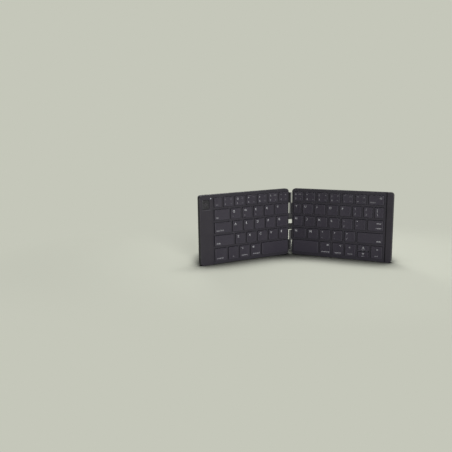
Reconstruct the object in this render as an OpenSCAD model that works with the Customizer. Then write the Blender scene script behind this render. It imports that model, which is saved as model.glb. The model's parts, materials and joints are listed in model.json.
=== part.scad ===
// Folding keyboard: two shallow key halves joined by an interleaved barrel hinge, standing half open on its
// front long edge. Each half is drawn lying flat on a bench and then stood up and swung about the hinge:
// x runs outward from the hinge axis, y from the front long edge to the back one, z up out of the keys,
// with z = 0 on the hinge axis.

/* [Halves] */
// Width of each half, from its hinge edge to its outer edge
half_w = 145; // [138:0.5:155]
// Depth of each half, from its front long edge to its back one
half_d = 98; // [98:0.5:104]
// Total thickness of a half, strip cover to underside
half_t = 7.6; // [7.2:0.1:9]
// Angle between the two key faces in the modelled pose
opening_angle = 126.2; // [90:0.1:178]
// Radius of the outer corners seen from the front
corner_r = 4.8; // [1.5:0.1:5.4]
// Radius along the underside edges
under_r = 1.3; // [0.4:0.1:2]
// Wall thickness of the shells
wall = 1.4; // [1.2:0.1:1.8]
// Floor thickness of the bottom shells
floor_t = 1.1; // [0.9:0.1:1.4]

/* [Keys] */
// Gap between neighbouring keys in a row
key_gap = 3.2; // [2.6:0.1:4]
// Gap between rows
row_gap = 3.3; // [2.6:0.1:3.6]
// Height of the top row of keys
top_row_h = 13.3; // [13.2:0.1:15]
// Height of the three middle rows of keys
mid_row_h = 14.9; // [14:0.1:15.6]
// Height of the bottom row of keys
low_row_h = 17.7; // [14:0.1:18]
// Margin above the top row
top_margin = 4.8; // [3:0.1:5]
// How far the keys stand proud of the key frame
key_proud = 1.4; // [1:0.1:1.6]
// Travel of a key
key_travel = 1.4; // [1:0.1:1.4]
// Thickness of a key cap with its skirt
cap_h = 2.4; // [2:0.1:2.4]
// Play around a key in its window
key_play = 0.3; // [0.2:0.05:0.4]
// Corner radius of a key cap
cap_r = 1.1; // [0.5:0.1:2]
// Depth of the dish across the top of a key cap
cap_dish = 0.15; // [0.05:0.05:0.25]

/* [Strips] */
// Width of the raised strip at the left end
left_strip_w = 19.5; // [19:0.5:22]
// Width of the raised strip at the right end
right_strip_w = 8.5; // [6:0.5:10]
// Width of the groove beside each strip
groove_w = 2; // [1:0.1:2.4]
// Depth of the groove
groove_d = 0.5; // [0.2:0.1:0.8]

/* [Hinge] */
// Distance from the hinge axis to the facing edge of each half
hinge_gap = 1.7; // [1.6:0.1:2.6]
// Outer radius of the hinge barrels
barrel_r = 1.5; // [1.35:0.05:1.65]
// Radius of the hinge pins
pin_r = 0.6; // [0.5:0.05:0.75]
// Radial clearance of a pin in its barrel
pin_play = 0.05; // [0.03:0.01:0.1]
// Length of each of the two upper barrels
barrel_len = 15.3; // [12:0.1:16]
// Length of each of the two lower barrels
low_barrel_len = 14.4; // [12:0.1:15]
// Distance from the upper long edge to the first barrel
barrel_edge = 5.8; // [5:0.1:7]
// Distance from the lower long edge to the last barrel
low_barrel_edge = 7; // [5:0.1:8]
// Gap between neighbouring barrels
barrel_gap = 0.3; // [0.2:0.05:0.6]
// Length of each cable sleeve along the hinge
sleeve_len = 8.8; // [6:0.1:9]
// Open window between the two cable sleeves
window_len = 6.3; // [5:0.1:7]

/* [Fittings] */
// Width of the pairing button
button_w = 10.1; // [8:0.1:11]
// Length of the pairing button
button_l = 12.6; // [10:0.1:13]
// Travel of the pairing button
button_travel = 0.4; // [0.2:0.05:0.45]
// Radius of the status light
light_r = 0.85; // [0.5:0.05:1]
// Radius of the round feet
foot_r = 3.5; // [2.5:0.1:4]
// How far the feet stand out of the underside
foot_proud = 0.5; // [0.3:0.1:0.8]
// Radius of a screw shank
screw_r = 0.7; // [0.6:0.05:0.75]

/* [Hidden] */
swing = (180 - opening_angle) / 2;      // each half is swung this far towards the viewer
strip_top = -0.3;                       // top of the raised strips
under = strip_top - half_t;             // underside of the bottom shells
key_top = -0.5;                         // top of the key caps at rest
deck = key_top - key_proud;             // top of the key frame
deck_t = 1.2;                           // thickness of the key frame's deck
parting = -4.9;                         // where key frame and bottom shell meet
floor_top = under + floor_t;
lip_h = 0.5;                            // tongue of the key frame inside the bottom shell
lip_w = 0.5;
lip_play = 0.1;
roof = key_top - 0.85;                  // inside top of a key cap
sheet_top = key_top - cap_h - key_travel - 0.45;    // top of the switch membrane, clear of a pressed key
sheet_t = 0.3;
plate_t = 0.4;
plate_top = sheet_top - sheet_t;
plate_under = plate_top - plate_t;
outer_x = hinge_gap + half_w;           // outer edge of a half
arc_n = 5;                              // steps in a rounded corner
smooth = 40;                            // steps round a true cylinder
eps = 0.01;

// The whole object is centred over its own base.
front_reach = -(outer_x - 0.5) * sin(swing) - strip_top * cos(swing);
back_reach = -(hinge_gap + under_r) * sin(swing) - (under + under_r) * cos(swing) + under_r;
hinge_y = -(front_reach + back_reach) / 2;

LEFT = 0;
RIGHT = 1;

// Key names, row by row from the back, as the user reads them.
ROWS = [
    [["esc", "1", "2", "3", "4", "5", "6"],
     ["tab", "q", "w", "e", "r", "t"],
     ["caps", "a", "s", "d", "f", "g"],
     ["shift_left", "z", "x", "c", "v", "b"],
     ["control", "fn", "option_left", "command_left", "space_left"]],
    [["7", "8", "9", "0", "minus", "equals", "backspace"],
     ["y", "u", "i", "o", "p", "bracket_open", "bracket_close", "backslash"],
     ["h", "j", "k", "l", "semicolon", "quote", "enter"],
     ["n", "m", "comma", "period", "slash", "shift_right"],
     ["space_right", "command_right", "option_right", "arrow_left", "arrow_pair", "arrow_right"]]];
// Width of the first key in each row; the last one fills what is left.
FIRST_W = [[11, 22.6, 25.1, 29.55, 18.15], [14.05, 10.7, 13.95, 19.1, 37.8]];
// Width of the ordinary keys in each row.
STD_W = [[15, 15, 15, 15, 15], [15.1, 15.15, 15.1, 14.85, 15.1]];
bracket_w = 12;                         // the two narrow bracket keys
left_field = [left_strip_w + 2.8, half_w - 3.1];    // key field of the left half, from its outer edge
right_field = [3, half_w - 12.5];                   // key field of the right half, from its hinge edge
pair_gap = 1;                           // gap between the two half-height arrow keys

function row_h(row) = row == 0 ? top_row_h : row == 4 ? low_row_h : mid_row_h;
function row_y(row) = row == 0 ? top_margin : row_y(row - 1) + row_h(row - 1) + row_gap;
function field(side) = side == LEFT ? left_field : right_field;
function cell_w(side, row, i) =
    i == 0 ? FIRST_W[side][row] : (side == RIGHT && row == 1 && i > 4) ? bracket_w : STD_W[side][row];
function cell_x(side, row, i) =
    i == 0 ? field(side)[0] : cell_x(side, row, i - 1) + cell_w(side, row, i - 1) + key_gap;
function cell_end(side, row, i) =
    i == len(ROWS[side][row]) - 1 ? field(side)[1] : cell_x(side, row, i) + cell_w(side, row, i);
// Bench x of a place given from the user's left edge of that half.
function bench_x(side, s) = side == LEFT ? outer_x - s : hinge_gap + s;
// Key cells as [name, side, x0, y0, x1, y1] on the bench.
CELLS = [for (side = [LEFT, RIGHT], row = [0:4], i = [0:len(ROWS[side][row]) - 1])
    let (a = bench_x(side, cell_x(side, row, i)), b = bench_x(side, cell_end(side, row, i)),
         y1 = half_d - row_y(row))
    [ROWS[side][row][i], side, min(a, b), y1 - row_h(row), max(a, b), y1]];
function halves(c) = let (m = (c[3] + c[5]) / 2)
    [["arrow_down", c[1], c[2], c[3], c[4], m - pair_gap / 2],
     ["arrow_up", c[1], c[2], m + pair_gap / 2, c[4], c[5]]];
KEYS = [for (c = CELLS) each (c[0] == "arrow_pair" ? halves(c) : [c])];

LETTERS = ["a", "b", "c", "d", "e", "f", "g", "h", "i", "j", "k", "l", "m", "n", "o", "p", "q", "r", "s",
           "t", "u", "v", "w", "x", "y", "z", "space_left", "space_right"];
// Keys that share one solid file, as [node, key names].
KEY_GROUPS = [
    ["keys_digits_left", ["1", "2", "3", "4", "5", "6"]],
    ["keys_digits_right", ["7", "8", "9", "0", "minus", "equals"]],
    ["keys_controls_left", ["esc", "tab", "caps", "shift_left", "control", "fn", "option_left", "command_left"]],
    ["keys_punctuation", ["bracket_open", "bracket_close", "backslash", "semicolon", "quote", "comma",
                          "period", "slash"]],
    ["keys_controls_right", ["backspace", "enter", "shift_right", "command_right", "option_right", "arrow_left",
                             "arrow_up", "arrow_down", "arrow_right"]]];

// ---- helpers ----

function arc(cx, cy, r, from, n = arc_n) =
    r <= 0 ? [[cx, cy]] : [for (i = [0:n]) [cx + r * cos(from + 90 * i / n), cy + r * sin(from + 90 * i / n)]];

// Outline of a box with its own radius at each corner: [x1y1, x0y1, x0y0, x1y0].
function outline(x0, y0, x1, y1, r) = concat(
    arc(x1 - r[0], y1 - r[0], r[0], 0), arc(x0 + r[1], y1 - r[1], r[1], 90),
    arc(x0 + r[2], y0 + r[2], r[2], 180), arc(x1 - r[3], y0 + r[3], r[3], 270));

// Side view of a block whose lower edges have radius low and upper edges radius high.
function side_view(a0, a1, z0, z1, low, high) = outline(a0, z0, a1, z1, [high, high, low, low]);

// Stands a half up on its front long edge and swings it into the modelled pose.
module place(side) {
    translate([0, hinge_y, 0]) mirror([side == LEFT ? 1 : 0, 0, 0])
        rotate([0, 0, -swing]) rotate([90, 0, 0]) children();
}

module slab(x0, y0, x1, y1, z0, z1, r = [0, 0, 0, 0]) {
    translate([0, 0, z0]) linear_extrude(z1 - z0) polygon(outline(x0, y0, x1, y1, r));
}

// Block with rounded corners in plan and rounded lower and upper edges: its plan and its two side views
// cut each other.
module eased_block(x0, y0, x1, y1, z0, z1, r, low, high) {
    intersection() {
        slab(x0, y0, x1, y1, z0, z1, r);
        translate([0, y1 + 1, 0]) rotate([90, 0, 0]) linear_extrude(y1 - y0 + 2)
            polygon(side_view(x0, x1, z0, z1, low, high));
        translate([x0 - 1, 0, 0]) rotate([90, 0, 90]) linear_extrude(x1 - x0 + 2)
            polygon(side_view(y0, y1, z0, z1, low, high));
    }
}

module rod(x, y, z0, z1, r) { translate([x, y, z0]) cylinder(r = r, h = z1 - z0, $fn = smooth); }

function all_corners(r) = [r, r, r, r];

// ---- places shared by several parts ----

function screw_spots(side) = [for (x = side == LEFT ? [14, 64, 114] : [14, 70, 126],
    row = [1, 4]) [x, half_d - row_y(row) + row_gap / 2]];
foot_inset = 14;
foot_edge = 10;
function foot_spots() = [for (x = [hinge_gap + foot_inset, outer_x - foot_inset],
    y = [foot_edge, half_d - foot_edge]) [x, y]];
boss_r = 1.3;
pad_r = 2.2;
screw_head_r = 1.3;
screw_head_h = 0.8;
screw_seat = under + 0.95;
screw_tip = -4;

// Barrels along the hinge, as [side, y0, y1]: each half has one in the upper and one in the lower run.
function run_up(side, y, length) = [side, y, y + length];
function run_down(side, y, length) = [side, y - length, y];
BARRELS = [
    run_down(LEFT, half_d - barrel_edge, barrel_len),
    run_down(RIGHT, half_d - barrel_edge - barrel_len - barrel_gap, barrel_len),
    run_up(RIGHT, low_barrel_edge + low_barrel_len + barrel_gap, low_barrel_len),
    run_up(LEFT, low_barrel_edge, low_barrel_len)];
cap_t = 0.8;                            // closed end of the outer barrels

// ---- shells ----

rib_t = 0.8;
rib_count_x = 6;
rib_count_y = 4;
rib_top = parting - lip_h - lip_play;   // level with the step that takes the tongue
post_r = 1.2;

module base_ribs(side) {
    x0 = hinge_gap + wall;
    x1 = outer_x - strip_w(side) - 1;
    for (i = [1:rib_count_x]) let (x = x0 + (x1 - x0) * i / rib_count_x)
        slab(x - rib_t, wall - eps, x, half_d - wall + eps, floor_top - eps, rib_top);
    for (j = [1:rib_count_y]) let (y = half_d * j / (rib_count_y + 1))
        slab(x0 - eps, y, x1, y + rib_t, floor_top - eps, rib_top);
}

module board_posts() {
    for (s = [board_s[0] + 1.8, board_s[1] - 1.8], y = [board_y[0] + 3.5, board_y[1] - 2.6])
        rod(bench_x(LEFT, s), y, floor_top - eps, board_under, post_r);
}

module base(side) {
    difference() {
        union() {
            difference() {
                eased_block(hinge_gap, 0, outer_x, half_d, under, parting, all_corners(corner_r), under_r, 0);
                slab(hinge_gap + wall, wall, outer_x - wall, half_d - wall, floor_top, parting + 1,
                     all_corners(corner_r - wall));
                // step that takes the key frame's tongue
                slab(hinge_gap + wall - lip_w - lip_play, wall - lip_w - lip_play,
                     outer_x - wall + lip_w + lip_play, half_d - wall + lip_w + lip_play,
                     parting - lip_h - lip_play, parting + 1, all_corners(corner_r - wall + lip_w));
            }
            base_ribs(side);
            for (s = screw_spots(side)) rod(s[0], s[1], floor_top - eps, rib_top, pad_r);
            if (side == LEFT) board_posts();
        }
        for (s = screw_spots(side)) {
            rod(s[0], s[1], under - 1, plate_under + 1, screw_r + 0.1);
            rod(s[0], s[1], under - 1, screw_seat, screw_head_r + 0.15);
        }
        for (f = foot_spots()) rod(f[0], f[1], under - 1, under + 0.4, foot_r + 0.1);
    }
}

port_s = 9.2;                           // centre of the charging port, from the left edge
port_w = 7.6;
port_h = 2.4;
port_slant = 1.1;                       // the port's lower corners are cut off this far up and in
board_top = -4.7;
board_t = 0.8;
board_under = board_top - board_t;
board_s = [2.6, left_strip_w - 1.8];    // circuit board, from the left edge
board_y = [60, half_d - 2.4];
bay_s = [2.4, left_strip_w - 1.6];      // opening over the battery and board, from the left edge
bay_y = [3, half_d - 3];

function strip_w(side) = side == LEFT ? left_strip_w : right_strip_w;
right_groove_gap = 0.5;                 // ledge between the right strip and its groove

// Outline of the port, drawn in by g: flat top, slanting lower corners.
function port_outline(g) = let (w = port_w / 2 - g, low = board_top + g, high = board_top + port_h - g)
    [[-w, high], [-w, low + port_slant], [-w + port_slant, low], [w - port_slant, low],
     [w, low + port_slant], [w, high]];
// That outline carried inward from y, square to the back edge.
module port_run(g, y, depth) {
    translate([bench_x(LEFT, port_s), y, 0]) rotate([90, 0, 0]) linear_extrude(depth) polygon(port_outline(g));
}

module key_windows(side) {
    for (c = CELLS) if (c[1] == side)
        slab(c[2] - key_play, c[3] - key_play, c[4] + key_play, c[5] + key_play, deck - 2, deck + 1,
             all_corners(cap_r));
}

module bracket_slots(side) {
    for (b = BARRELS) if (b[0] == side)
        slab(hinge_gap - 1, b[1] - 0.1, hinge_gap + wall + 1, b[2] + 0.1, parting - eps, deck - deck_t);
}

module key_frame(side) {
    difference() {
        union() {
            difference() {
                eased_block(hinge_gap, 0, outer_x, half_d, parting, deck, all_corners(corner_r), 0, 0.4);
                slab(hinge_gap + wall, wall, outer_x - wall, half_d - wall, parting - 1, deck - deck_t,
                     all_corners(corner_r - wall));
            }
            // tongue
            difference() {
                slab(hinge_gap + wall - lip_w, wall - lip_w, outer_x - wall + lip_w, half_d - wall + lip_w,
                     parting - lip_h, parting + 1, all_corners(corner_r - wall + lip_w));
                slab(hinge_gap + wall, wall, outer_x - wall, half_d - wall, parting - 2, parting + 2,
                     all_corners(corner_r - wall));
            }
            for (s = screw_spots(side)) rod(s[0], s[1], plate_under, deck - deck_t + eps, boss_r);
        }
        key_windows(side);
        bracket_slots(side);
        for (s = screw_spots(side)) rod(s[0], s[1], plate_under - 1, screw_tip + 0.3, screw_r + 0.02);
        if (side == LEFT) {
            slab(bench_x(LEFT, left_strip_w + groove_w), -1, bench_x(LEFT, left_strip_w), half_d + 1,
                 deck - groove_d, deck + 1);
            slab(bench_x(LEFT, bay_s[1]), bay_y[0], bench_x(LEFT, bay_s[0]), bay_y[1], deck - 2, deck + 1,
                 all_corners(1));
            port_run(-0.15, half_d + 1, half_d + 1.1 - bay_y[1]);
        } else {
            slab(outer_x - right_strip_w - right_groove_gap - groove_w, -1,
                 outer_x - right_strip_w - right_groove_gap, half_d + 1, deck - groove_d, deck + 1);
        }
    }
}

button_s = [4, 14.5];                   // button opening, from the left edge
button_y = [6.5, 19.5];                 // button opening, from the back edge
light_s = left_strip_w - 2.6;
light_y = 5.2;
cover_t = 1;
cover_wall = 1.2;

module strip_cover(side) {
    x0 = outer_x - strip_w(side);
    difference() {
        eased_block(x0, 0, outer_x, half_d, deck, strip_top, [corner_r, 0.8, 0.8, corner_r], 0, 0.5);
        slab(x0 + cover_wall, cover_wall, outer_x - cover_wall, half_d - cover_wall, deck - 1,
             strip_top - cover_t, [corner_r - cover_wall, 0, 0, corner_r - cover_wall]);
        if (side == LEFT) {
            slab(bench_x(LEFT, button_s[1]), half_d - button_y[1], bench_x(LEFT, button_s[0]),
                 half_d - button_y[0], strip_top - 2, strip_top + 1, all_corners(2));
            rod(bench_x(LEFT, light_s), half_d - light_y, strip_top - 2, strip_top + 1, light_r + 0.05);
        }
    }
}

// ---- under the keys ----

function mid_x(k) = (k[2] + k[4]) / 2;
function mid_y(k) = (k[3] + k[5]) / 2;
function full_height(k) = k[5] - k[3] > 10;
link_len = 9.3;
link_bar = 0.7;
link_h = 0.7;
link_side_gap = 0.25;
link_tilt = 14.1;
link_mid = (roof + sheet_top) / 2;
function link_w(k) = min(10, k[4] - k[2] - 3.2);
function dome_r(k) = full_height(k) ? min(2.6, link_w(k) / 2 - 1.75) : 2.2;
tab_w = 1.4;
tab_t = 0.4;
tab_top = sheet_top + 0.85;
tab_y = link_len / 2 + 0.15 + tab_t / 2;
function tab_x(k) = link_w(k) / 2 - 1.2;

// Upright tabs of the plate that hold the lower ends of the links.
module tab_plan(k, grow) {
    for (sx = [-1, 1], sy = [-1, 1])
        translate([mid_x(k) + sx * tab_x(k), mid_y(k) + sy * tab_y])
            square([tab_w + grow, tab_t + grow], center = true);
}

sheet_inset = 2.3;                      // plate and membrane stop this far from the edges of a half
sheet_past = 0.7;                       // and reach this far past the outermost keys

module sheet_plan(side, clear) {
    x0 = hinge_gap + sheet_inset;
    x1 = bench_x(side, side == LEFT ? left_field[0] : right_field[1]) + sheet_past;
    difference() {
        polygon(outline(x0, sheet_inset, x1, half_d - sheet_inset, all_corners(1)));
        for (s = screw_spots(side)) translate(s) circle(r = boss_r + clear, $fn = smooth);
    }
}

module key_plate(side) {
    translate([0, 0, plate_under]) linear_extrude(plate_t) sheet_plan(side, 0.2);
    translate([0, 0, plate_under + eps]) linear_extrude(tab_top - plate_under)
        for (k = KEYS) if (k[1] == side && full_height(k)) tab_plan(k, 0);
}

module membrane(side) {
    translate([0, 0, plate_top]) linear_extrude(sheet_t) difference() {
        sheet_plan(side, 0.3);
        for (k = KEYS) if (k[1] == side && full_height(k)) tab_plan(k, 0.4);
    }
}

dome_foot_h = 0.3;
dome_wall_h = 2;
dome_top = roof - 0.05;
dome_steps = 24;

module domes(side) {
    stem0 = sheet_top + dome_foot_h + dome_wall_h - 2 * eps;
    for (k = KEYS) if (k[1] == side) translate([mid_x(k), mid_y(k), 0]) {
        translate([0, 0, sheet_top]) cylinder(r = dome_r(k), h = dome_foot_h, $fn = dome_steps);
        translate([0, 0, sheet_top + dome_foot_h - eps])
            cylinder(r1 = dome_r(k) * 0.9, r2 = dome_r(k) * 0.6, h = dome_wall_h, $fn = dome_steps);
        translate([0, 0, stem0]) cylinder(r = dome_r(k) * 0.45, h = dome_top - stem0, $fn = dome_steps);
    }
}

// One rectangular link lying level, its long way along y; the pivot stubs or holes are at its middle.
module link_ring(w, stub) {
    difference() {
        translate([-w / 2, -link_len / 2, -link_h / 2]) cube([w, link_len, link_h]);
        translate([-w / 2 + link_bar, -link_len / 2 + link_bar, -1])
            cube([w - 2 * link_bar, link_len - 2 * link_bar, 2]);
        if (!stub) translate([-w, 0, 0]) rotate([0, 90, 0]) cylinder(r = 0.27, h = 2 * w, $fn = 16);
    }
    if (stub) for (s = [-1, 1]) translate([s * (w / 2 - 0.05), 0, 0]) rotate([0, 90 * s, 0])
        cylinder(r = 0.22, h = link_side_gap + link_bar, $fn = 16);
}

module scissors(side) {
    for (k = KEYS) if (k[1] == side && full_height(k)) translate([mid_x(k), mid_y(k), link_mid]) {
        rotate([link_tilt, 0, 0]) link_ring(link_w(k), false);
        rotate([-link_tilt, 0, 0]) link_ring(link_w(k) - 2 * (link_bar + link_side_gap), true);
    }
}

// ---- keys ----

skirt = 1.1;                            // thickness of a cap's skirt
cap_under = key_top - cap_h;

// Side view of a cap: leaning skirt, rounded shoulder, and a top that dips along a parabola.
dish_n = 8;                             // steps across the dish
function cap_view(a0, a1, dip) = let (lean = 0.12, m = 0.55, mid = (a0 + a1) / 2, reach = (a1 - a0) / 2 - m)
    concat([[a0, cap_under], [a1, cap_under], [a1 - lean, key_top - 0.5], [a1 - 2 * lean, key_top - 0.2]],
           [for (i = [0:dish_n]) let (u = 1 - 2 * i / dish_n) [mid + u * reach, key_top - dip * (1 - u * u)]],
           [[a0 + 2 * lean, key_top - 0.2], [a0 + lean, key_top - 0.5]]);

// Clips under the roof that hold the upper ends of the links.
clip_under = roof - 0.8;
module clips(k) {
    for (sx = [-1, 1], sy = [-1, 1])
        translate([mid_x(k) + sx * tab_x(k) - tab_w / 2, mid_y(k) + sy * tab_y - tab_t / 2, clip_under])
            cube([tab_w, tab_t, roof - clip_under + eps]);
}

// Small bar that marks a home key.
bar_l = 3.6;
bar_w = 0.5;
bar_y = 2.9;
bar_top = key_top + 0.1;
module home_bar(k) {
    slab(mid_x(k) - bar_l / 2, k[3] + bar_y, mid_x(k) + bar_l / 2, k[3] + bar_y + bar_w, roof + eps, bar_top,
         all_corners(bar_w / 2 - eps));
}

function is_space(k) = k[0] == "space_left" || k[0] == "space_right";

module key_cap(k) {
    difference() {
        intersection() {
            slab(k[2], k[3], k[4], k[5], cap_under, key_top, all_corners(cap_r));
            translate([0, k[5] + 1, 0]) rotate([90, 0, 0]) linear_extrude(k[5] - k[3] + 2)
                polygon(cap_view(k[2], k[4], is_space(k) ? 0 : cap_dish));
            translate([k[2] - 1, 0, 0]) rotate([90, 0, 90]) linear_extrude(k[4] - k[2] + 2)
                polygon(cap_view(k[3], k[5], 0));
        }
        slab(k[2] + skirt, k[3] + skirt, k[4] - skirt, k[5] - skirt, cap_under - 1, roof);
    }
    if (full_height(k)) clips(k);
    if (k[0] == "f" || k[0] == "j") home_bar(k);
}

module caps(names) {
    color("#3c3a3f") for (k = KEYS, n = names) if (k[0] == n) place(k[1]) key_cap(k);
}

// ---- hinge ----

// Bracket: barrel on the axis, neck down the edge of the half, and a foot trapped in the shell.
neck_x = hinge_gap - 0.1;
toe_x = hinge_gap + wall + 0.4;
toe_top = deck - deck_t - 0.05;
toe_under = parting + 0.1;
module bracket(b) {
    difference() {
        translate([0, b[2], 0]) rotate([90, 0, 0]) linear_extrude(b[2] - b[1]) union() {
            circle(r = barrel_r, $fn = smooth);
            polygon([[0, -barrel_r + eps], [neck_x - 1.9, -3.6], [neck_x - 1.3, toe_under], [toe_x, toe_under],
                     [toe_x, toe_top], [neck_x, toe_top], [neck_x, deck + 0.2], [barrel_r - eps, 0]]);
        }
        // bore, blind in the two outer barrels
        bore0 = b[0] == LEFT && b[1] < half_d / 2 ? b[1] + cap_t : b[1] - 1;
        bore1 = b[0] == LEFT && b[1] > half_d / 2 ? b[2] - cap_t : b[2] + 1;
        translate([0, bore1, 0]) rotate([90, 0, 0]) cylinder(r = pin_r + pin_play, h = bore1 - bore0, $fn = smooth);
    }
}

module hinge_brackets(side) { color("#2e2d30") place(side) for (b = BARRELS) if (b[0] == side) bracket(b); }

pin_end = 0.2;                          // a pin stops this far inside the open end of its barrels
pin_bevel = 0.3;
module pin_along(y0, y1) {
    translate([0, hinge_y, y0]) {
        cylinder(r = pin_r, h = y1 - y0 - pin_bevel, $fn = smooth);
        translate([0, 0, y1 - y0 - pin_bevel])
            cylinder(r1 = pin_r, r2 = pin_r - pin_bevel, h = pin_bevel, $fn = smooth);
    }
}

module hinge_pins() {
    color("silver") {
        pin_along(BARRELS[1][1] + pin_end, BARRELS[0][2] - cap_t - 0.1);
        pin_along(BARRELS[3][1] + cap_t + 0.1, BARRELS[2][2] - pin_end);
    }
}

// Flexible sleeve over the ribbon cable, bent at the axis: straight arms to the edge of each half.
sleeve_front = -0.9;
sleeve_back = -4.3;
function fold_point(side, x, z) = [(side == LEFT ? -1 : 1) * (x * cos(swing) - z * sin(swing)),
                                   hinge_y - x * sin(swing) - z * cos(swing)];
module sleeve(z0) {
    reach = hinge_gap - 0.05;
    translate([0, 0, z0]) linear_extrude(sleeve_len) polygon([
        fold_point(LEFT, reach, sleeve_front), fold_point(LEFT, reach, sleeve_back),
        [0, hinge_y - sleeve_back / cos(swing)],
        fold_point(RIGHT, reach, sleeve_back), fold_point(RIGHT, reach, sleeve_front),
        [0, hinge_y - sleeve_front / cos(swing)]]);
}

module cable_sleeves() {
    top = BARRELS[1][1] - 0.1;
    color("#1f1e20") {
        sleeve(top - sleeve_len);
        sleeve(top - 2 * sleeve_len - window_len);
    }
}

// ---- electronics in the left strip ----

battery_s = [3.6, left_strip_w - 2.8];  // battery, from the left edge
battery_y = [6, 57];
battery_top = -2.5;
button_mid = [bench_x(LEFT, (button_s[0] + button_s[1]) / 2), half_d - (button_y[0] + button_y[1]) / 2];
button_under = strip_top - 1.7;
switch_h = 1.3;
// Flat chips on the board, as [s0, s1, y0, y1, height].
CHIPS = [[9, 16, 64, 71, 0.9], [4.4, 7.6, 64, 66, 0.7], [4.4, 7.6, 68, 69.4, 0.5],
         [light_s - 0.8, light_s + 0.8, half_d - light_y - 0.5, half_d - light_y + 0.5, 0.6]];

module battery() {
    color("silver") place(LEFT)
        eased_block(bench_x(LEFT, battery_s[1]), battery_y[0], bench_x(LEFT, battery_s[0]), battery_y[1],
                    floor_top + 0.1, battery_top, all_corners(1), 0.9, 0.9);
}

module circuit_board() {
    plunger_top = button_under - button_travel - 0.05;
    color("darkgreen") place(LEFT) {
        slab(bench_x(LEFT, board_s[1]), board_y[0], bench_x(LEFT, board_s[0]), board_y[1],
             board_under, board_top, all_corners(0.5));
        for (c = CHIPS)
            slab(bench_x(LEFT, c[1]), c[2], bench_x(LEFT, c[0]), c[3], board_top - eps, board_top + c[4]);
        slab(button_mid[0] - 2, button_mid[1] - 2, button_mid[0] + 2, button_mid[1] + 2,
             board_top - eps, board_top + switch_h);
        rod(button_mid[0], button_mid[1], board_top + switch_h - eps, plunger_top, 1);
    }
}

module charging_port() {
    shell = 0.35;
    depth = 5.2;
    tongue_t = 0.5;
    tongue_w = 4.4;
    x = bench_x(LEFT, port_s);
    y1 = half_d - 0.4;
    mid = board_top + port_h / 2;
    color("silver") place(LEFT) {
        difference() {
            port_run(0, y1, depth);
            port_run(shell, y1 + 1, depth + 1 - 2 * shell);
        }
        slab(x - tongue_w / 2, y1 - depth + shell, x + tongue_w / 2, y1 - 1,
             mid - tongue_t / 2, mid + tongue_t / 2);
    }
}

module pairing_button() {
    x = button_w / 2;
    y = button_l / 2;
    rim = 0.7;                          // flange kept under the strip cover
    color("#1b1a1c") place(LEFT) translate(button_mid) {
        eased_block(-x, -y, x, y, button_under + 0.1, strip_top - 0.1, all_corners(1.8), 0, 0.3);
        slab(-x - rim, -y - rim, x + rim, y + rim, button_under, strip_top - cover_t - 0.1, all_corners(2));
    }
}

module status_light() {
    x = bench_x(LEFT, light_s);
    y = half_d - light_y;
    color("white") place(LEFT) {
        rod(x, y, board_top + 0.8, strip_top, light_r);
        rod(x, y, strip_top - cover_t - 0.5, strip_top - cover_t, light_r + 0.45);
    }
}

// ---- small parts of each half ----

module feet(side) {
    color("#242326") place(side) for (f = foot_spots()) {
        rod(f[0], f[1], under - foot_proud + 0.2, under + 0.4, foot_r);
        translate([f[0], f[1], under - foot_proud])
            cylinder(r1 = foot_r - 0.2, r2 = foot_r, h = 0.2 + eps, $fn = smooth);
    }
}

module screws(side) {
    color("gray") place(side) for (s = screw_spots(side)) difference() {
        union() {
            rod(s[0], s[1], screw_seat - screw_head_h, screw_seat, screw_head_r);
            rod(s[0], s[1], screw_seat - eps, screw_tip, screw_r);
        }
        for (a = [0, 90]) translate([s[0], s[1], screw_seat - screw_head_h]) rotate(a)
            cube([1.5, 0.35, 0.9], center = true);
    }
}

color("#333136") place(LEFT) base(LEFT);  // left_base
color("#2b2a2e") place(LEFT) key_frame(LEFT);  // left_key_frame
color("#3a383d") place(LEFT) strip_cover(LEFT);  // left_strip_cover
color("gray") place(LEFT) key_plate(LEFT);  // left_key_plate
color("lightsteelblue") place(LEFT) membrane(LEFT);  // left_membrane
color("gainsboro") place(LEFT) domes(LEFT);  // left_domes
color("dimgray") place(LEFT) scissors(LEFT);  // left_scissors
feet(LEFT);  // left_feet
screws(LEFT);  // left_screws
hinge_brackets(LEFT);  // left_hinge_brackets
color("#333136") place(RIGHT) base(RIGHT);  // right_base
color("#2b2a2e") place(RIGHT) key_frame(RIGHT);  // right_key_frame
color("#3a383d") place(RIGHT) strip_cover(RIGHT);  // right_strip_cover
color("gray") place(RIGHT) key_plate(RIGHT);  // right_key_plate
color("lightsteelblue") place(RIGHT) membrane(RIGHT);  // right_membrane
color("gainsboro") place(RIGHT) domes(RIGHT);  // right_domes
color("dimgray") place(RIGHT) scissors(RIGHT);  // right_scissors
feet(RIGHT);  // right_feet
screws(RIGHT);  // right_screws
hinge_brackets(RIGHT);  // right_hinge_brackets
hinge_pins();
cable_sleeves();
battery();
circuit_board();
charging_port();
pairing_button();
status_light();
for (k = LETTERS) caps([k]);
for (g = KEY_GROUPS) caps(g[1]);
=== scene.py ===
"""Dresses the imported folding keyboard: its key caps, legends, cable sleeves, fittings and finishes.

Lengths are in millimetres until they go into a mesh, which is in metres in the row frame. A place on a half is
given as (s, t, z): s to the reader's right from that half's left edge, t up from the long edge that the
keyboard stands on, and z out of the keys, with z = 0 on the hinge axis.
"""

import json  # noqa: E402
import logging  # noqa: E402
import math  # noqa: E402
from dataclasses import dataclass, field  # noqa: E402
from enum import Enum  # noqa: E402
from typing import ClassVar  # noqa: E402

import bpy  # noqa: E402
import numpy as np  # noqa: E402
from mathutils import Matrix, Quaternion, Vector  # noqa: E402


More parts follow.
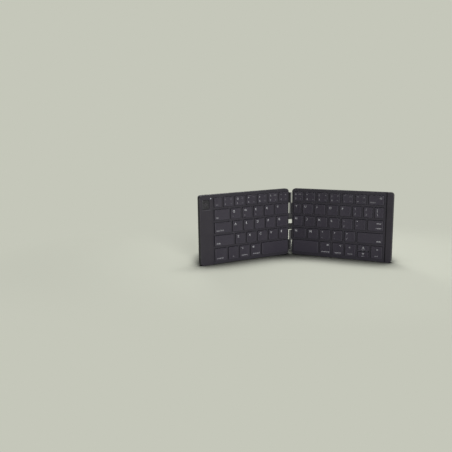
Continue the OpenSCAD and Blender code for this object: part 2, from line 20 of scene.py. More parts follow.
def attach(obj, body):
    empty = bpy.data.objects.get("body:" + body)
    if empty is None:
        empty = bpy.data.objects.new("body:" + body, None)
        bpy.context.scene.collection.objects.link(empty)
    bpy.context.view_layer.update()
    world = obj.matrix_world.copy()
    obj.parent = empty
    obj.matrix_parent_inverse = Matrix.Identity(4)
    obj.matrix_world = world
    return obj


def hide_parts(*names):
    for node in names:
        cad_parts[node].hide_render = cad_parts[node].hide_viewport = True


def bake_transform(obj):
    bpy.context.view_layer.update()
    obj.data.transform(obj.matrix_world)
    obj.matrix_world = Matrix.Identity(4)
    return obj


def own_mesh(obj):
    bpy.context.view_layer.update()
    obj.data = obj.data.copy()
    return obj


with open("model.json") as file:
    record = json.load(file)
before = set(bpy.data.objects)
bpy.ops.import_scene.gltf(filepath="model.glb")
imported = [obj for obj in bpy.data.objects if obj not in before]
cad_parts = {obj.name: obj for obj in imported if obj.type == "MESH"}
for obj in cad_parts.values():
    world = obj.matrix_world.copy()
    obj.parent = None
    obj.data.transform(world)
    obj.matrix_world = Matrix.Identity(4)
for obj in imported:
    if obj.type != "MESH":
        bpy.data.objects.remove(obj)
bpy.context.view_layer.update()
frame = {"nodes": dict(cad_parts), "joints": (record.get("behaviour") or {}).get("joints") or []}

log = logging.getLogger("keyboard")

Color = tuple[float, float, float, float]
Trio = tuple[float, float, float]
Socket, Material = bpy.types.NodeSocket, bpy.types.Material

# ---- the object's own sizes, as in its solids -------------------------------------------------------------

MM_PER_M = 1000
HALF_WIDTH, HALF_DEPTH, HINGE_GAP = 145.0, 98.0, 1.7
OUTER = HINGE_GAP + HALF_WIDTH
SWING = math.radians(26.9)
STRIP_TOP, KEY_TOP, DECK, PARTING = -0.3, -0.5, -1.9, -4.9
HINGE_Y = MM_PER_M * next(j for j in frame["joints"] if j["name"] == "fold")["pos_m"][1]


class Side(Enum):
    """The two halves of the keyboard."""

    LEFT = "left"
    RIGHT = "right"

    @property
    def body(self) -> str:
        """Name of the CAD body of this half."""
        return f"{self.value}_half"


@dataclass(frozen=True)
class HalfFrame:
    """The upright, swung frame of one half."""

    side: Side

    def axes(self) -> np.ndarray:
        """Row directions of s, t and z, one to a row."""
        cos, sin = math.cos(SWING), math.sin(SWING) * (1 if self.side is Side.LEFT else -1)
        return np.array([[cos, sin, 0.0], [0.0, 0.0, 1.0], [sin, -cos, 0.0]])

    def origin(self) -> np.ndarray:
        """Row position, in millimetres, of s = t = z = 0: on the hinge level at the half's left edge."""
        reach = -OUTER if self.side is Side.LEFT else HINGE_GAP
        return np.array([0.0, HINGE_Y, 0.0]) + reach * self.axes()[0]

    def to_row(self, points: np.ndarray) -> np.ndarray:
        """Carries points of this half into the row frame.

        Args:
            points: (n, 3) array of s, t, z in millimetres.

        Returns:
            (n, 3) array in metres: origin plus each coordinate times its axis.
        """
        return (self.origin() + points @ self.axes()) / MM_PER_M

    def to_half(self, points: np.ndarray) -> np.ndarray:
        """Carries points of the row frame, in millimetres, into this half's s, t, z, in millimetres."""
        return (points - self.origin()) @ self.axes().T


# ---- meshes ------------------------------------------------------------------------------------------------


@dataclass
class Patch:
    """Points, faces and per-point values of a mesh that is being put together."""

    points: np.ndarray
    faces: list[np.ndarray]
    values: dict[str, np.ndarray] = field(default_factory=dict)

    @classmethod
    def join(cls, parts: list["Patch"]) -> "Patch":
        """Puts several patches into one.

        Args:
            parts: Patches that hold the same named values.

        Returns:
            One patch, with each part's face numbers moved past the points before it.
        """
        starts = np.cumsum([0] + [len(p.points) for p in parts[:-1]])
        faces = [f + start for p, start in zip(parts, starts) for f in p.faces]
        values = {k: np.concatenate([p.values[k] for p in parts]) for k in parts[0].values}
        return cls(np.concatenate([p.points for p in parts]), faces, values)

    @classmethod
    def of(cls, mesh: bpy.types.Mesh, scale: float = 1.0) -> "Patch":
        """The points of a mesh, times scale, and its triangles."""
        mesh.calc_loop_triangles()
        return cls(scale * np.array([v.co for v in mesh.vertices], float),
                   [np.array([t.vertices[:] for t in mesh.loop_triangles])])

    def outward(self) -> "Patch":
        """Turns the faces round if the closed shell is inside out.

        Returns:
            The patch itself. Six times the enclosed volume is the sum, over triangles fanned from each face's
            first corner, of a . (b x c); if it is negative, every face's corner order is reversed.
        """
        total = 0.0
        for f in self.faces:
            a = self.points[f[:, 0]]
            for k in range(1, f.shape[1] - 1):
                b, c = self.points[f[:, k]], self.points[f[:, k + 1]]
                total += float(np.einsum("ij,ij->i", a, np.cross(b, c)).sum())
        if total < 0:
            self.faces = [f[:, ::-1] for f in self.faces]
        return self

    def to_object(self, name: str, place: HalfFrame | None, smooth: bool = True) -> bpy.types.Object:
        """Makes the mesh object, at the origin, with its place in its mesh.

        Args:
            name: Name of the piece.
            place: Half whose frame the points are in, or None if they are in the row frame already.
            smooth: Whether its faces are shaded smooth.

        Returns:
            The new object, linked to the scene.
        """
        points = place.to_row(self.points) if place else self.points / MM_PER_M
        mesh = bpy.data.meshes.new(name)
        mesh.from_pydata(points.tolist(), [], [face for f in self.faces for face in f.tolist()])
        mesh.polygons.foreach_set("use_smooth", np.full(len(mesh.polygons), smooth))
        mesh.validate()
        for key, values in self.values.items():
            layer = mesh.attributes.new(key, "FLOAT", "POINT")
            layer.data.foreach_set("value", values.astype(np.float32))
        obj = bpy.data.objects.new(name, mesh)
        bpy.context.scene.collection.objects.link(obj)
        return obj


def quarter(steps: int = 5) -> np.ndarray:
    """Angles from 0 to a right angle in so many steps."""
    return np.linspace(0, math.pi / 2, steps + 1)


def rounded_paths(half_w: np.ndarray, half_d: np.ndarray, radius: np.ndarray, corner: int = 5,
                  side: int = 6) -> np.ndarray:
    """Rounded rectangles about the origin, all with the same number of points.

    Each is four quarter circles, centre (+-(w - r), +-(d - r)) plus r (cos, sin) of the angle, joined by evenly
    divided straight sides.

    Args:
        half_w: Half widths, one to a ring.
        half_d: Half depths, one to a ring.
        radius: Corner radii, one to a ring.
        corner: Steps round each corner.
        side: Steps along each side.

    Returns:
        (rings, points, 2) array.
    """
    w, d, r = (np.atleast_1d(np.asarray(a, float))[:, None] for a in (half_w, half_d, radius))
    turn = quarter(corner)
    blocks = []
    for k, (sx, sy) in enumerate(((1, 1), (-1, 1), (-1, -1), (1, -1))):
        angle = turn + k * math.pi / 2
        blocks.append(np.stack((sx * (w - r) + r * np.cos(angle), sy * (d - r) + r * np.sin(angle)), -1))
    share = np.linspace(0, 1, side + 1)[1:-1][None, :, None]
    out = []
    for k in range(4):
        a, b = blocks[k][:, -1:], blocks[(k + 1) % 4][:, :1]
        out += [blocks[k], a * (1 - share) + b * share]
    return np.concatenate(out, axis=1)


def skin(rings: np.ndarray, first: np.ndarray | None = None, last: np.ndarray | None = None) -> Patch:
    """Joins closed rings of points into a surface, with a fan to a pole at either end.

    Args:
        rings: (rings, points, 3) array.
        first: Pole before the first ring, or None to leave it open.
        last: Pole after the last ring, or None to leave it open.

    Returns:
        The patch: quads between each ring's point i, i + 1 and the next ring's, and triangles at the poles.
    """
    count, size = rings.shape[:2]
    i = np.arange(size)
    j = (i + 1) % size
    base = (np.arange(count - 1) * size)[:, None]
    quads = np.stack((base + i, base + j, base + size + j, base + size + i), -1).reshape(-1, 4)
    points, faces = [rings.reshape(-1, 3)], [quads]
    total = count * size
    for pole, ring, order in ((first, 0, (0, 2, 1)), (last, (count - 1) * size, (0, 1, 2))):
        if pole is not None:
            fan = np.stack((np.full(size, total), ring + i, ring + j), -1)
            points.append(np.asarray(pole, float)[None])
            faces.append(fan[:, list(order)])
            total += 1
    return Patch(np.concatenate(points), faces)


def raised(plan: np.ndarray, heights) -> np.ndarray:
    """Rings in plan, (rings, points, 2), lifted to heights, one to a ring or one to a point."""
    heights = np.asarray(heights, float)
    if heights.ndim == 1:
        heights = np.broadcast_to(heights[:, None], plan.shape[:2])
    return np.concatenate((plan, heights[..., None]), -1)


def pillow(half: Trio, centre: Trio, radius: float, edge: float, steps: int) -> Patch:
    """A flat block with rounded corners in plan and quarter-round edges above and below.

    Rings run from the lower pole out and up: plan inset = edge (1 - cos a), height = +-(h - edge + edge sin a).

    Args:
        half: Half sizes along s, t and z.
        centre: Its centre.
        radius: Corner radius in plan.
        edge: Radius of its upper and lower edges.
        steps: Steps round each edge.

    Returns:
        The closed patch.
    """
    a = quarter(steps)
    inset = edge * (1 - np.cos(a))
    rise = half[2] - edge + edge * np.sin(a)
    inset, height = np.concatenate((inset[::-1], inset)), np.concatenate((-rise[::-1], rise))
    plan = rounded_paths(half[0] - inset, half[1] - inset, np.maximum(radius - inset, 0.02))
    low, high = np.array([0, 0, -half[2]]), np.array([0, 0, half[2]])
    return skin(raised(plan, height) + np.array(centre), low + centre, high + centre).outward()


def lathe(middle: tuple[float, float], radii: np.ndarray, heights: np.ndarray, steps: int,
          poles: tuple[float, float] | None = None) -> Patch:
    """A profile turned about an upright axis.

    Args:
        middle: Where the axis stands, s and t.
        radii: The profile's radii, one to a ring.
        heights: Its heights.
        steps: Points round each ring.
        poles: Heights of the first and last pole, or None where the last ring meets the first.

    Returns:
        The patch.
    """
    turn = np.linspace(0, 2 * math.pi, steps + 1)[:-1]
    circle = np.stack((np.cos(turn), np.sin(turn)), -1)
    plan = circle[None] * np.asarray(radii)[:, None, None] + np.array(middle)
    return skin(raised(plan, heights), *(np.array([*middle, z]) for z in poles or ())).outward()


# ---- shader parts ------------------------------------------------------------------------------------------


def paint(red: int, green: int, blue: int) -> Color:
    """A colour as it is seen on a screen, from 0 to 255 each, made linear with the screen's own curve."""
    c = np.array([red, green, blue]) / 255
    c = np.where(c <= 0.04045, c / 12.92, ((c + 0.055) / 1.055) ** 2.4)
    return (float(c[0]), float(c[1]), float(c[2]), 1.0)


DUST = paint(120, 118, 112)
PATCHY = (3.0, 0.6)  # detail and roughness of noise that lies in patches


@dataclass
class Graph:
    """A short way of writing a node tree."""

    tree: bpy.types.NodeTree

    def put(self, socket: Socket, value) -> None:
        """Links another node's output to an input socket, or sets the input's own value."""
        if isinstance(value, Socket):
            self.tree.links.new(value, socket)
        else:
            socket.default_value = value

    def node(self, kind: str, inputs: dict | None = None, **settings) -> bpy.types.Node:
        """Adds a node.

        Args:
            kind: Its type, without the ShaderNode in front.
            inputs: Socket name or number to a value or to another node's output socket.
            settings: Its own properties.

        Returns:
            The node.
        """
        made = self.tree.nodes.new("ShaderNode" + kind)
        for key, value in settings.items():
            setattr(made, key, value)
        for key, value in (inputs or {}).items():
            self.put(made.inputs[key], value)
        return made

    def math(self, operation: str, *values) -> Socket:
        """The output of a Math node of that operation on the values."""
        return self.node("Math", dict(enumerate(values)), operation=operation).outputs[0]

    def times(self, a, b) -> Socket:
        """a b."""
        return self.math("MULTIPLY", a, b)

    def line(self, a, slope, start) -> Socket:
        """a slope + start."""
        return self.math("MULTIPLY_ADD", a, slope, start)

    def ramp(self, value, low: float, high: float, to_low: float = 0.0, to_high: float = 1.0) -> Socket:
        """value carried smoothly from the range low to high to the range to_low to to_high."""
        return self.node("MapRange", {"Value": value, "From Min": low, "From Max": high, "To Min": to_low,
                                      "To Max": to_high}, interpolation_type="SMOOTHSTEP").outputs["Result"]

    def mix(self, share, a, b) -> Socket:
        """Colour a turning into colour b as share goes from 0 to 1."""
        return self.node("Mix", {0: share, 6: a, 7: b}, data_type="RGBA").outputs[2]

    def noise(self, vector, scale: float, detail: float = 2.0, rough: float = 0.5) -> Socket:
        """Noise from 0 to 1 with so many features to a metre."""
        return self.node("TexNoise", {"Vector": vector, "Scale": scale, "Detail": detail,
                                      "Roughness": rough}).outputs["Fac"]

    def drawn(self, vector, scale: Trio, rotation: Trio = (0.0, 0.0, 0.0)) -> Socket:
        """The vector turned and stretched."""
        return self.node("Mapping", {"Vector": vector, "Scale": scale, "Rotation": rotation}).outputs[0]


def group(name: str, inputs: dict[str, float | None], outputs: str) -> tuple[Graph, dict, dict]:
    """Starts a shader node group, whose first input is Vector.

    Args:
        name: Its name.
        inputs: Names of its other inputs, to their default values.
        outputs: Names of its outputs.

    Returns:
        The graph to fill, its input sockets by name and its output sockets by name.
    """
    tree = bpy.data.node_groups.new(name, "ShaderNodeTree")
    tree.interface.new_socket(name="Vector", in_out="INPUT", socket_type="NodeSocketVector")
    for label, default in inputs.items():
        tree.interface.new_socket(name=label, in_out="INPUT", socket_type="NodeSocketFloat").default_value = default
    for label in outputs.split():
        tree.interface.new_socket(name=label, in_out="OUTPUT", socket_type="NodeSocketFloat")
    start, end = tree.nodes.new("NodeGroupInput"), tree.nodes.new("NodeGroupOutput")
    return Graph(tree), {s.name: s for s in start.outputs if s.name}, {s.name: s for s in end.inputs if s.name}


class Effects:
    """The shader groups that several finishes share, each built once."""

    def __init__(self) -> None:
        """Builds every group."""
        self.grain = self._grain()
        self.handling = self._handling()
        self.wear = self._wear()
        self.half_place = {side: self._half_place(side) for side in Side}

    @staticmethod
    def _grain() -> bpy.types.NodeTree:
        """Spark-eroded grain of a moulded surface: fine noise over rounded cells, Size of them to a metre.

        Returns:
            Group with Height, from 0 to 1, and Fleck, the same grain spread for a change of colour.
        """
        g, i, o = group("moulded_grain", {"Size": 4000.0}, "Height Fleck")
        cells = g.node("TexVoronoi", {"Vector": i["Vector"], "Scale": i["Size"], "Randomness": 0.9},
                       feature="SMOOTH_F1").outputs["Distance"]
        fine = g.noise(i["Vector"], g.times(i["Size"], 1.7), 2.0, 0.6)
        g.put(o["Height"], g.line(cells, 0.7, g.times(fine, 0.45)))
        g.put(o["Fleck"], g.ramp(fine, 0.3, 0.7))
        return g.tree

    @staticmethod
    def _handling() -> bpy.types.NodeTree:
        """Faint greasy patches and fine dust left by handling.

        Returns:
            Group with Smudge and Dust masks from 0 to 1. A smudge is where slow noise, stretched along one way,
            passes a threshold; dust is where very fine noise does.
        """
        g, i, o = group("handling_marks", {}, "Smudge Dust")
        stretched = g.drawn(i["Vector"], (1.0, 1.0, 0.55), (0.4, 0.2, 0.3))
        slow = g.noise(stretched, 95.0, 3.0, 0.55)
        ridges = g.node("TexWave", {"Vector": stretched, "Scale": 620.0, "Distortion": 6.0, "Detail": 2.0,
                                    "Detail Scale": 1.2}, wave_type="RINGS").outputs["Fac"]
        g.put(o["Smudge"], g.times(g.ramp(slow, 0.46, 0.72), g.ramp(ridges, 0.0, 1.0, 0.7, 1.0)))
        specks = g.ramp(g.noise(i["Vector"], 2600.0, 1.0), 0.66, 0.76)
        clumps = g.ramp(g.noise(i["Vector"], 60.0), 0.4, 0.75)
        g.put(o["Dust"], g.times(specks, clumps))
        return g.tree

    @staticmethod
    def _wear() -> bpy.types.NodeTree:
        """Polish worn into edges: a mask of the edge, broken up by two sizes of noise.

        Returns:
            Group with Worn, from 0 to 1.
        """
        g, i, o = group("edge_polish", {"Edge": 0.0, "Amount": 0.5}, "Worn")
        fine = g.times(g.noise(i["Vector"], 1500.0), 0.35)
        patchy = g.line(g.noise(i["Vector"], 130.0, *PATCHY), 0.75, fine)
        g.put(o["Worn"], g.times(g.times(i["Edge"], g.ramp(patchy, 0.38, 0.75, 0.35, 1.0)), i["Amount"]))
        return g.tree

    @staticmethod
    def _half_place(side: Side) -> bpy.types.NodeTree:
        """Place on a half from the row position: each coordinate is (position - origin) . axis, in millimetres.

        Returns:
            Group with Z and Rim, the distance to the nearest outer edge in plan.
        """
        g, i, o = group(f"{side.value}_half_place", {}, "Z Rim")
        half = HalfFrame(side)
        start = tuple(half.origin() / MM_PER_M)
        moved = g.node("VectorMath", {0: i["Vector"], 1: start}, operation="SUBTRACT").outputs[0]
        s, t, z = (g.node("VectorMath", {0: moved, 1: tuple(axis)}, operation="DOT_PRODUCT").outputs["Value"]
                   for axis in half.axes() * MM_PER_M)
        near = [g.math("MINIMUM", at, g.math("SUBTRACT", size, at))
                for at, size in ((s, HALF_WIDTH), (t, HALF_DEPTH))]
        g.put(o["Z"], z)
        g.put(o["Rim"], g.math("MINIMUM", *near))
        return g.tree


@dataclass
class Coat(Graph):
    """The node tree of one material, with its shader, the position on the object and the shared groups."""

    shader: bpy.types.Node
    place: Socket
    effects: Effects

    def feed(self, color=None, rough=None, metal=None) -> None:
        """Feeds the shader's colour, roughness and metalness, those that are given."""
        for name, value in (("Base Color", color), ("Roughness", rough), ("Metallic", metal)):
            if value is not None:
                self.put(self.shader.inputs[name], value)

    def kept(self, name: str) -> Socket:
        """A value that the mesh keeps at its points."""
        return self.node("Attribute", attribute_name=name).outputs["Fac"]

    def shared(self, tree: bpy.types.NodeTree, **inputs) -> list[Socket]:
        """The outputs of a shared group at this position."""
        return list(self.node("Group", {"Vector": self.place, **inputs}, node_tree=tree).outputs)

    def relief(self, height, depth_mm: float, strength: float) -> None:
        """Feeds a height from 0 to 1 to the shader's normal, as relief of that depth."""
        made = self.node("Bump", {"Height": height, "Distance": depth_mm / MM_PER_M, "Strength": strength})
        self.put(self.shader.inputs["Normal"], made.outputs[0])


@dataclass(frozen=True)
class Finish:
    """What every finish states: its name, colour and how rough it is."""

    name: str
    color: Color
    roughness: float
    specular: ClassVar[float] = 0.5

    def build(self, effects: Effects) -> Material:
        """Makes the material.

        Args:
            effects: The shared shader groups.

        Returns:
            The material.
        """
        made = bpy.data.materials.new(self.name)
        made.use_nodes = True
        made.node_tree.nodes.clear()
        graph = Graph(made.node_tree)
        shader = graph.node("BsdfPrincipled", {"Base Color": self.color, "Roughness": self.roughness,
                                               "Specular IOR Level": self.specular})
        graph.node("OutputMaterial", {"Surface": shader.outputs[0]})
        self.dress(Coat(graph.tree, shader, graph.node("TexCoord").outputs["Object"], effects))
        return made

    def dress(self, coat: Coat) -> None:
        """Adds this finish's own nodes; each finish has its own."""
        raise NotImplementedError

    def lighter(self, share: float) -> Color:
        """The finish's colour moved that share of the way to white, or to black if it is negative."""
        goal = 1.0 if share > 0 else 0.0
        c = [v + (goal - v) * abs(share) for v in self.color[:3]]
        return (c[0], c[1], c[2], 1.0)


@dataclass(frozen=True)
class CapPlastic(Finish):
    """Satin moulded plastic of the key caps, polished on the shoulders and where fingers land."""

    specular: ClassVar[float] = 0.3
    grain: float = 5200.0

    def dress(self, coat: Coat) -> None:
        """Grain, tone from cap to cap, shoulders worn lighter, finger grease in the middle of the tops."""
        height, fleck = coat.shared(coat.effects.grain, Size=self.grain)
        smudge, dust = coat.shared(coat.effects.handling)
        worn, = coat.shared(coat.effects.wear, Edge=coat.kept("shoulder"), Amount=0.5)
        own = coat.mix(coat.kept("tone"), self.lighter(-0.12), self.lighter(0.002))
        flecked = coat.mix(coat.times(fleck, 0.12), own, self.lighter(0.035))
        edged = coat.mix(worn, flecked, self.lighter(0.035))
        grease = coat.times(smudge, coat.line(coat.kept("touched"), 0.7, 0.3))
        rough = coat.line(worn, -0.16, coat.line(grease, -0.12, self.roughness))
        coat.feed(coat.mix(coat.times(dust, 0.2), edged, DUST), coat.line(fleck, 0.06, rough))
        coat.relief(height, 0.012, 0.55)


@dataclass(frozen=True)
class ShellPlastic(Finish):
    """Matte textured plastic of the shells, deck and strips of one half."""

    specular: ClassVar[float] = 0.3
    side: Side
    grain: float
    seam: bool
    edge_level: float = DECK

    def dress(self, coat: Coat) -> None:
        """Grain, slow mottling, worn outer edges, settled dust, and the dark line where the shells part."""
        level, rim = coat.shared(coat.effects.half_place[self.side])
        height, fleck = coat.shared(coat.effects.grain, Size=self.grain)
        smudge, dust = coat.shared(coat.effects.handling)
        near_top = coat.ramp(level, self.edge_level - 0.8, self.edge_level - 0.25)
        edge = coat.times(coat.ramp(rim, 0.15, 0.9, 1.0, 0.0), near_top)
        worn, = coat.shared(coat.effects.wear, Edge=edge, Amount=0.6)
        mottle = coat.ramp(coat.noise(coat.place, 38.0, 3.0, 0.55), 0.3, 0.7)
        own = coat.mix(mottle, self.lighter(-0.10), self.lighter(0.002))
        flecked = coat.mix(coat.times(fleck, 0.16), own, self.lighter(0.03))
        color = coat.mix(coat.times(dust, 0.22), coat.mix(worn, flecked, self.lighter(0.03)), DUST)
        if self.seam:
            line = coat.ramp(coat.math("ABSOLUTE", coat.math("SUBTRACT", level, PARTING)), 0.05, 0.13, 1.0, 0.0)
            color = coat.mix(coat.times(line, 0.85), color, self.lighter(-0.85))
            height = coat.line(line, -4.0, height)
        rough = coat.line(worn, -0.18, coat.line(smudge, -0.10, self.roughness))
        coat.feed(color, coat.line(fleck, 0.08, rough))
        coat.relief(height, 0.02, 0.7)


@dataclass(frozen=True)
class Ink(Finish):
    """Printed legend ink, paler or darker by its own strength and slightly rubbed."""

    weak: Color

    def dress(self, coat: Coat) -> None:
        """Colour from the legend's strength, with a rubbed edge of noise."""
        rub = coat.ramp(coat.noise(coat.place, 900.0, *PATCHY), 0.25, 0.6, 0.82, 1.0)
        coat.feed(coat.mix(coat.times(coat.kept("strength"), rub), self.weak, self.color),
                  coat.line(coat.noise(coat.place, 2400.0), 0.2, self.roughness))


@dataclass(frozen=True)
class PaintedMetal(Finish):
    """Thin dark paint on metal, with bright metal showing at rubbed spots."""

    bare: Color

    def dress(self, coat: Coat) -> None:
        """Fine orange-peel paint; where two sizes of noise meet their threshold, the bare metal is seen."""
        height, fleck = coat.shared(coat.effects.grain, Size=2600.0)
        chip = coat.ramp(coat.noise(coat.place, 700.0, 4.0, 0.65), 0.70, 0.74)
        coat.feed(coat.mix(chip, coat.mix(fleck, self.color, self.lighter(0.03)), self.bare),
                  coat.line(chip, -0.12, self.roughness), chip)
        coat.relief(coat.line(chip, -1.5, height), 0.01, 0.6)


@dataclass(frozen=True)
class BareMetal(Finish):
    """Bare metal with lines left by rolling, turning or plating."""

    stretch: Trio
    lines: float

    def dress(self, coat: Coat) -> None:
        """Noise drawn out along one way gives the lines; slow noise gives tarnish."""
        lines = coat.noise(coat.drawn(coat.place, self.stretch), self.lines, *PATCHY)
        tarnish = coat.ramp(coat.noise(coat.place, 160.0, *PATCHY), 0.4, 0.7)
        own = coat.mix(coat.ramp(lines, 0.3, 0.7), self.lighter(-0.18), self.lighter(0.08))
        coat.feed(coat.mix(coat.times(tarnish, 0.35), own, self.lighter(-0.4)),
                  coat.line(tarnish, 0.12, coat.line(lines, 0.16, self.roughness)), 1.0)
        coat.relief(lines, 0.006, 0.5)


@dataclass(frozen=True)
class SoftRubber(Finish):
    """Soft matte rubber or silicone, a little bloomed and dusty."""

    dust: float = 0.4

    def dress(self, coat: Coat) -> None:
        """Slow bloom of paler colour, dust specks and a soft grain."""
        height = coat.shared(coat.effects.grain, Size=2200.0)[0]
        dust = coat.shared(coat.effects.handling)[1]
        bloom = coat.ramp(coat.noise(coat.place, 210.0, *PATCHY), 0.35, 0.75)
        own = coat.mix(bloom, self.lighter(-0.12), self.lighter(0.03))
        coat.feed(coat.mix(coat.times(dust, self.dust), own, paint(158, 155, 148)),
                  coat.line(bloom, 0.08, self.roughness))
        coat.relief(height, 0.015, 0.5)


@dataclass(frozen=True)
class GlossCap(Finish):
    """Smooth glossy plastic of the pairing button, with hair scratches."""

    warm: Color

    def dress(self, coat: Coat) -> None:
        """A faint warm cast in slow patches; scratches are thin lines where drawn-out noise crosses its middle."""
        cast = coat.ramp(coat.noise(coat.place, 90.0), 0.35, 0.7)
        drawn = coat.drawn(coat.place, (1.0, 1.0, 0.05), (0.5, 0.3, 0.0))
        off = coat.math("ABSOLUTE", coat.math("SUBTRACT", coat.noise(drawn, 2200.0), 0.5))
        scratch = coat.ramp(off, 0.0, 0.012, 1.0, 0.0)
        smudge = coat.shared(coat.effects.handling)[0]
        coat.feed(coat.mix(coat.times(cast, 0.7), self.color, self.warm),
                  coat.line(smudge, 0.2, coat.line(scratch, 0.25, self.roughness)))
        coat.relief(scratch, 0.004, -0.4)


@dataclass(frozen=True)
class Lens(Finish):
    """Milky light pipe of the status light, glowing a little more in its middle."""

    glow: float = 0.1

    def dress(self, coat: Coat) -> None:
        """Cloudy colour, and a glow from the same clouds."""
        cloud = coat.noise(coat.place, 1400.0, *PATCHY)
        color = coat.mix(coat.ramp(cloud, 0.3, 0.7), self.lighter(-0.15), self.color)
        coat.feed(color, coat.line(cloud, 0.15, self.roughness))
        coat.put(coat.shader.inputs["Emission Color"], color)
        coat.put(coat.shader.inputs["Emission Strength"], self.glow)


@dataclass(frozen=True)
class Sheet(Finish):
    """A printed sheet or board: tracks of a second colour run over it in straight bands."""

    track: Color
    pitch: float
    metal: float = 0.0

    def dress(self, coat: Coat) -> None:
        """Bricks of uneven length leave thin lines between them, which are the tracks."""
        turned = coat.drawn(coat.place, (1.0, 1.0, 1.0), (math.pi / 2, 0.0, SWING))
        bricks = coat.node("TexBrick", {"Vector": turned, "Scale": self.pitch, "Mortar Size": 0.05,
                                        "Brick Width": 2.3, "Row Height": 0.6, "Bias": -0.2}).outputs["Fac"]
        cloud = coat.noise(coat.place, 120.0, 3.0)
        own = coat.mix(coat.ramp(cloud, 0.3, 0.7), self.lighter(-0.15), self.lighter(0.05))
        coat.feed(coat.mix(bricks, own, self.track), coat.line(cloud, 0.15, self.roughness),
                  coat.times(bricks, self.metal))
        coat.relief(bricks, 0.02, 0.5)


# ---- keys --------------------------------------------------------------------------------------------------


@dataclass(frozen=True)
class Cell:
    """One key's place on its half."""

    name: str
    side: Side
    s0: float
    s1: float
    t0: float
    t1: float

    @property
    def middle(self) -> tuple[float, float]:
        """Centre of the cell."""
        return (self.s0 + self.s1) / 2, (self.t0 + self.t1) / 2

    @property
    def half_size(self) -> tuple[float, float]:
        """Half its width and half its height."""
        return (self.s1 - self.s0) / 2, (self.t1 - self.t0) / 2


@dataclass(frozen=True)
class KeyLayout:
    """The staggered rows of both halves, worked out from the same widths as the solids."""

    row_heights: tuple[float, ...] = (13.3, 14.9, 14.9, 14.9, 17.7)
    row_gap: float = 3.3
    key_gap: float = 3.2
    top_margin: float = 4.8
    fields: tuple[tuple[float, float], ...] = ((22.3, 141.9), (3.0, 132.5))
    first: tuple[tuple[float, ...], ...] = ((11.0, 22.6, 25.1, 29.55, 18.15), (14.05, 10.7, 13.95, 19.1, 37.8))
    usual: tuple[tuple[float, ...], ...] = ((15.0, 15.0, 15.0, 15.0, 15.0), (15.1, 15.15, 15.1, 14.85, 15.1))
    bracket: float = 12.0
    arrow_gap: float = 1.0
    rows: tuple[tuple[str, ...], ...] = (
        ("esc 1 2 3 4 5 6", "tab q w e r t", "caps a s d f g", "shift_left z x c v b",
         "control fn option_left command_left space_left"),
        ("7 8 9 0 minus equals backspace", "y u i o p bracket_open bracket_close backslash",
         "h j k l semicolon quote enter", "n m comma period slash shift_right",
         "space_right command_right option_right arrow_left arrow_pair arrow_right"))

    def cells(self) -> list[Cell]:
        """Every key's cell; the two half-height arrow keys share one place.

        Returns:
            The cells, left half first, row by row from the back.
        """
        found = []
        for h, side in enumerate(Side):
            top = HALF_DEPTH - self.top_margin
            for r, names in enumerate(self.rows[h]):
                s = self.fields[h][0]
                keys = names.split()
                for i, name in enumerate(keys):
                    usual = self.bracket if name.startswith("bracket") else self.usual[h][r]
                    width = usual if i else self.first[h][r]
                    end = self.fields[h][1] if i == len(keys) - 1 else s + width
                    bottom = top - self.row_heights[r]
                    if name == "arrow_pair":
                        mid, gap = (top + bottom) / 2, self.arrow_gap / 2
                        found += [Cell("arrow_up", side, s, end, mid + gap, top),
                                  Cell("arrow_down", side, s, end, bottom, mid - gap)]
                    else:
                        found.append(Cell(name, side, s, end, bottom, top))
                    s = end + self.key_gap
                top -= self.row_heights[r] + self.row_gap
        return found


NODE_KEYS: dict[str, str] = {
    "keys_digits_left": "1 2 3 4 5 6",
    "keys_digits_right": "7 8 9 0 minus equals",
    "keys_controls_left": "esc tab caps shift_left control fn option_left command_left",
    "keys_punctuation": "bracket_open bracket_close backslash semicolon quote comma period slash",
    "keys_controls_right": "backspace enter shift_right command_right option_right arrow_left arrow_up arrow_down "
                           "arrow_right"}


def key_banks(layout: KeyLayout) -> dict[str, list[Cell]]:
    """Groups the keys as the CAD nodes do.

    Args:
        layout: The keys' places.

    Returns:
        CAD node name to its keys: each letter and space bar alone, the other keys in their groups.
    """
    cells = {c.name: c for c in layout.cells()}
    grouped = {node: names.split() for node, names in NODE_KEYS.items()}
    taken = {k for names in grouped.values() for k in names}
    grouped.update({f"key_{name}": [name] for name in cells if name not in taken})
    return {node: [cells[n] for n in names] for node, names in grouped.items()}


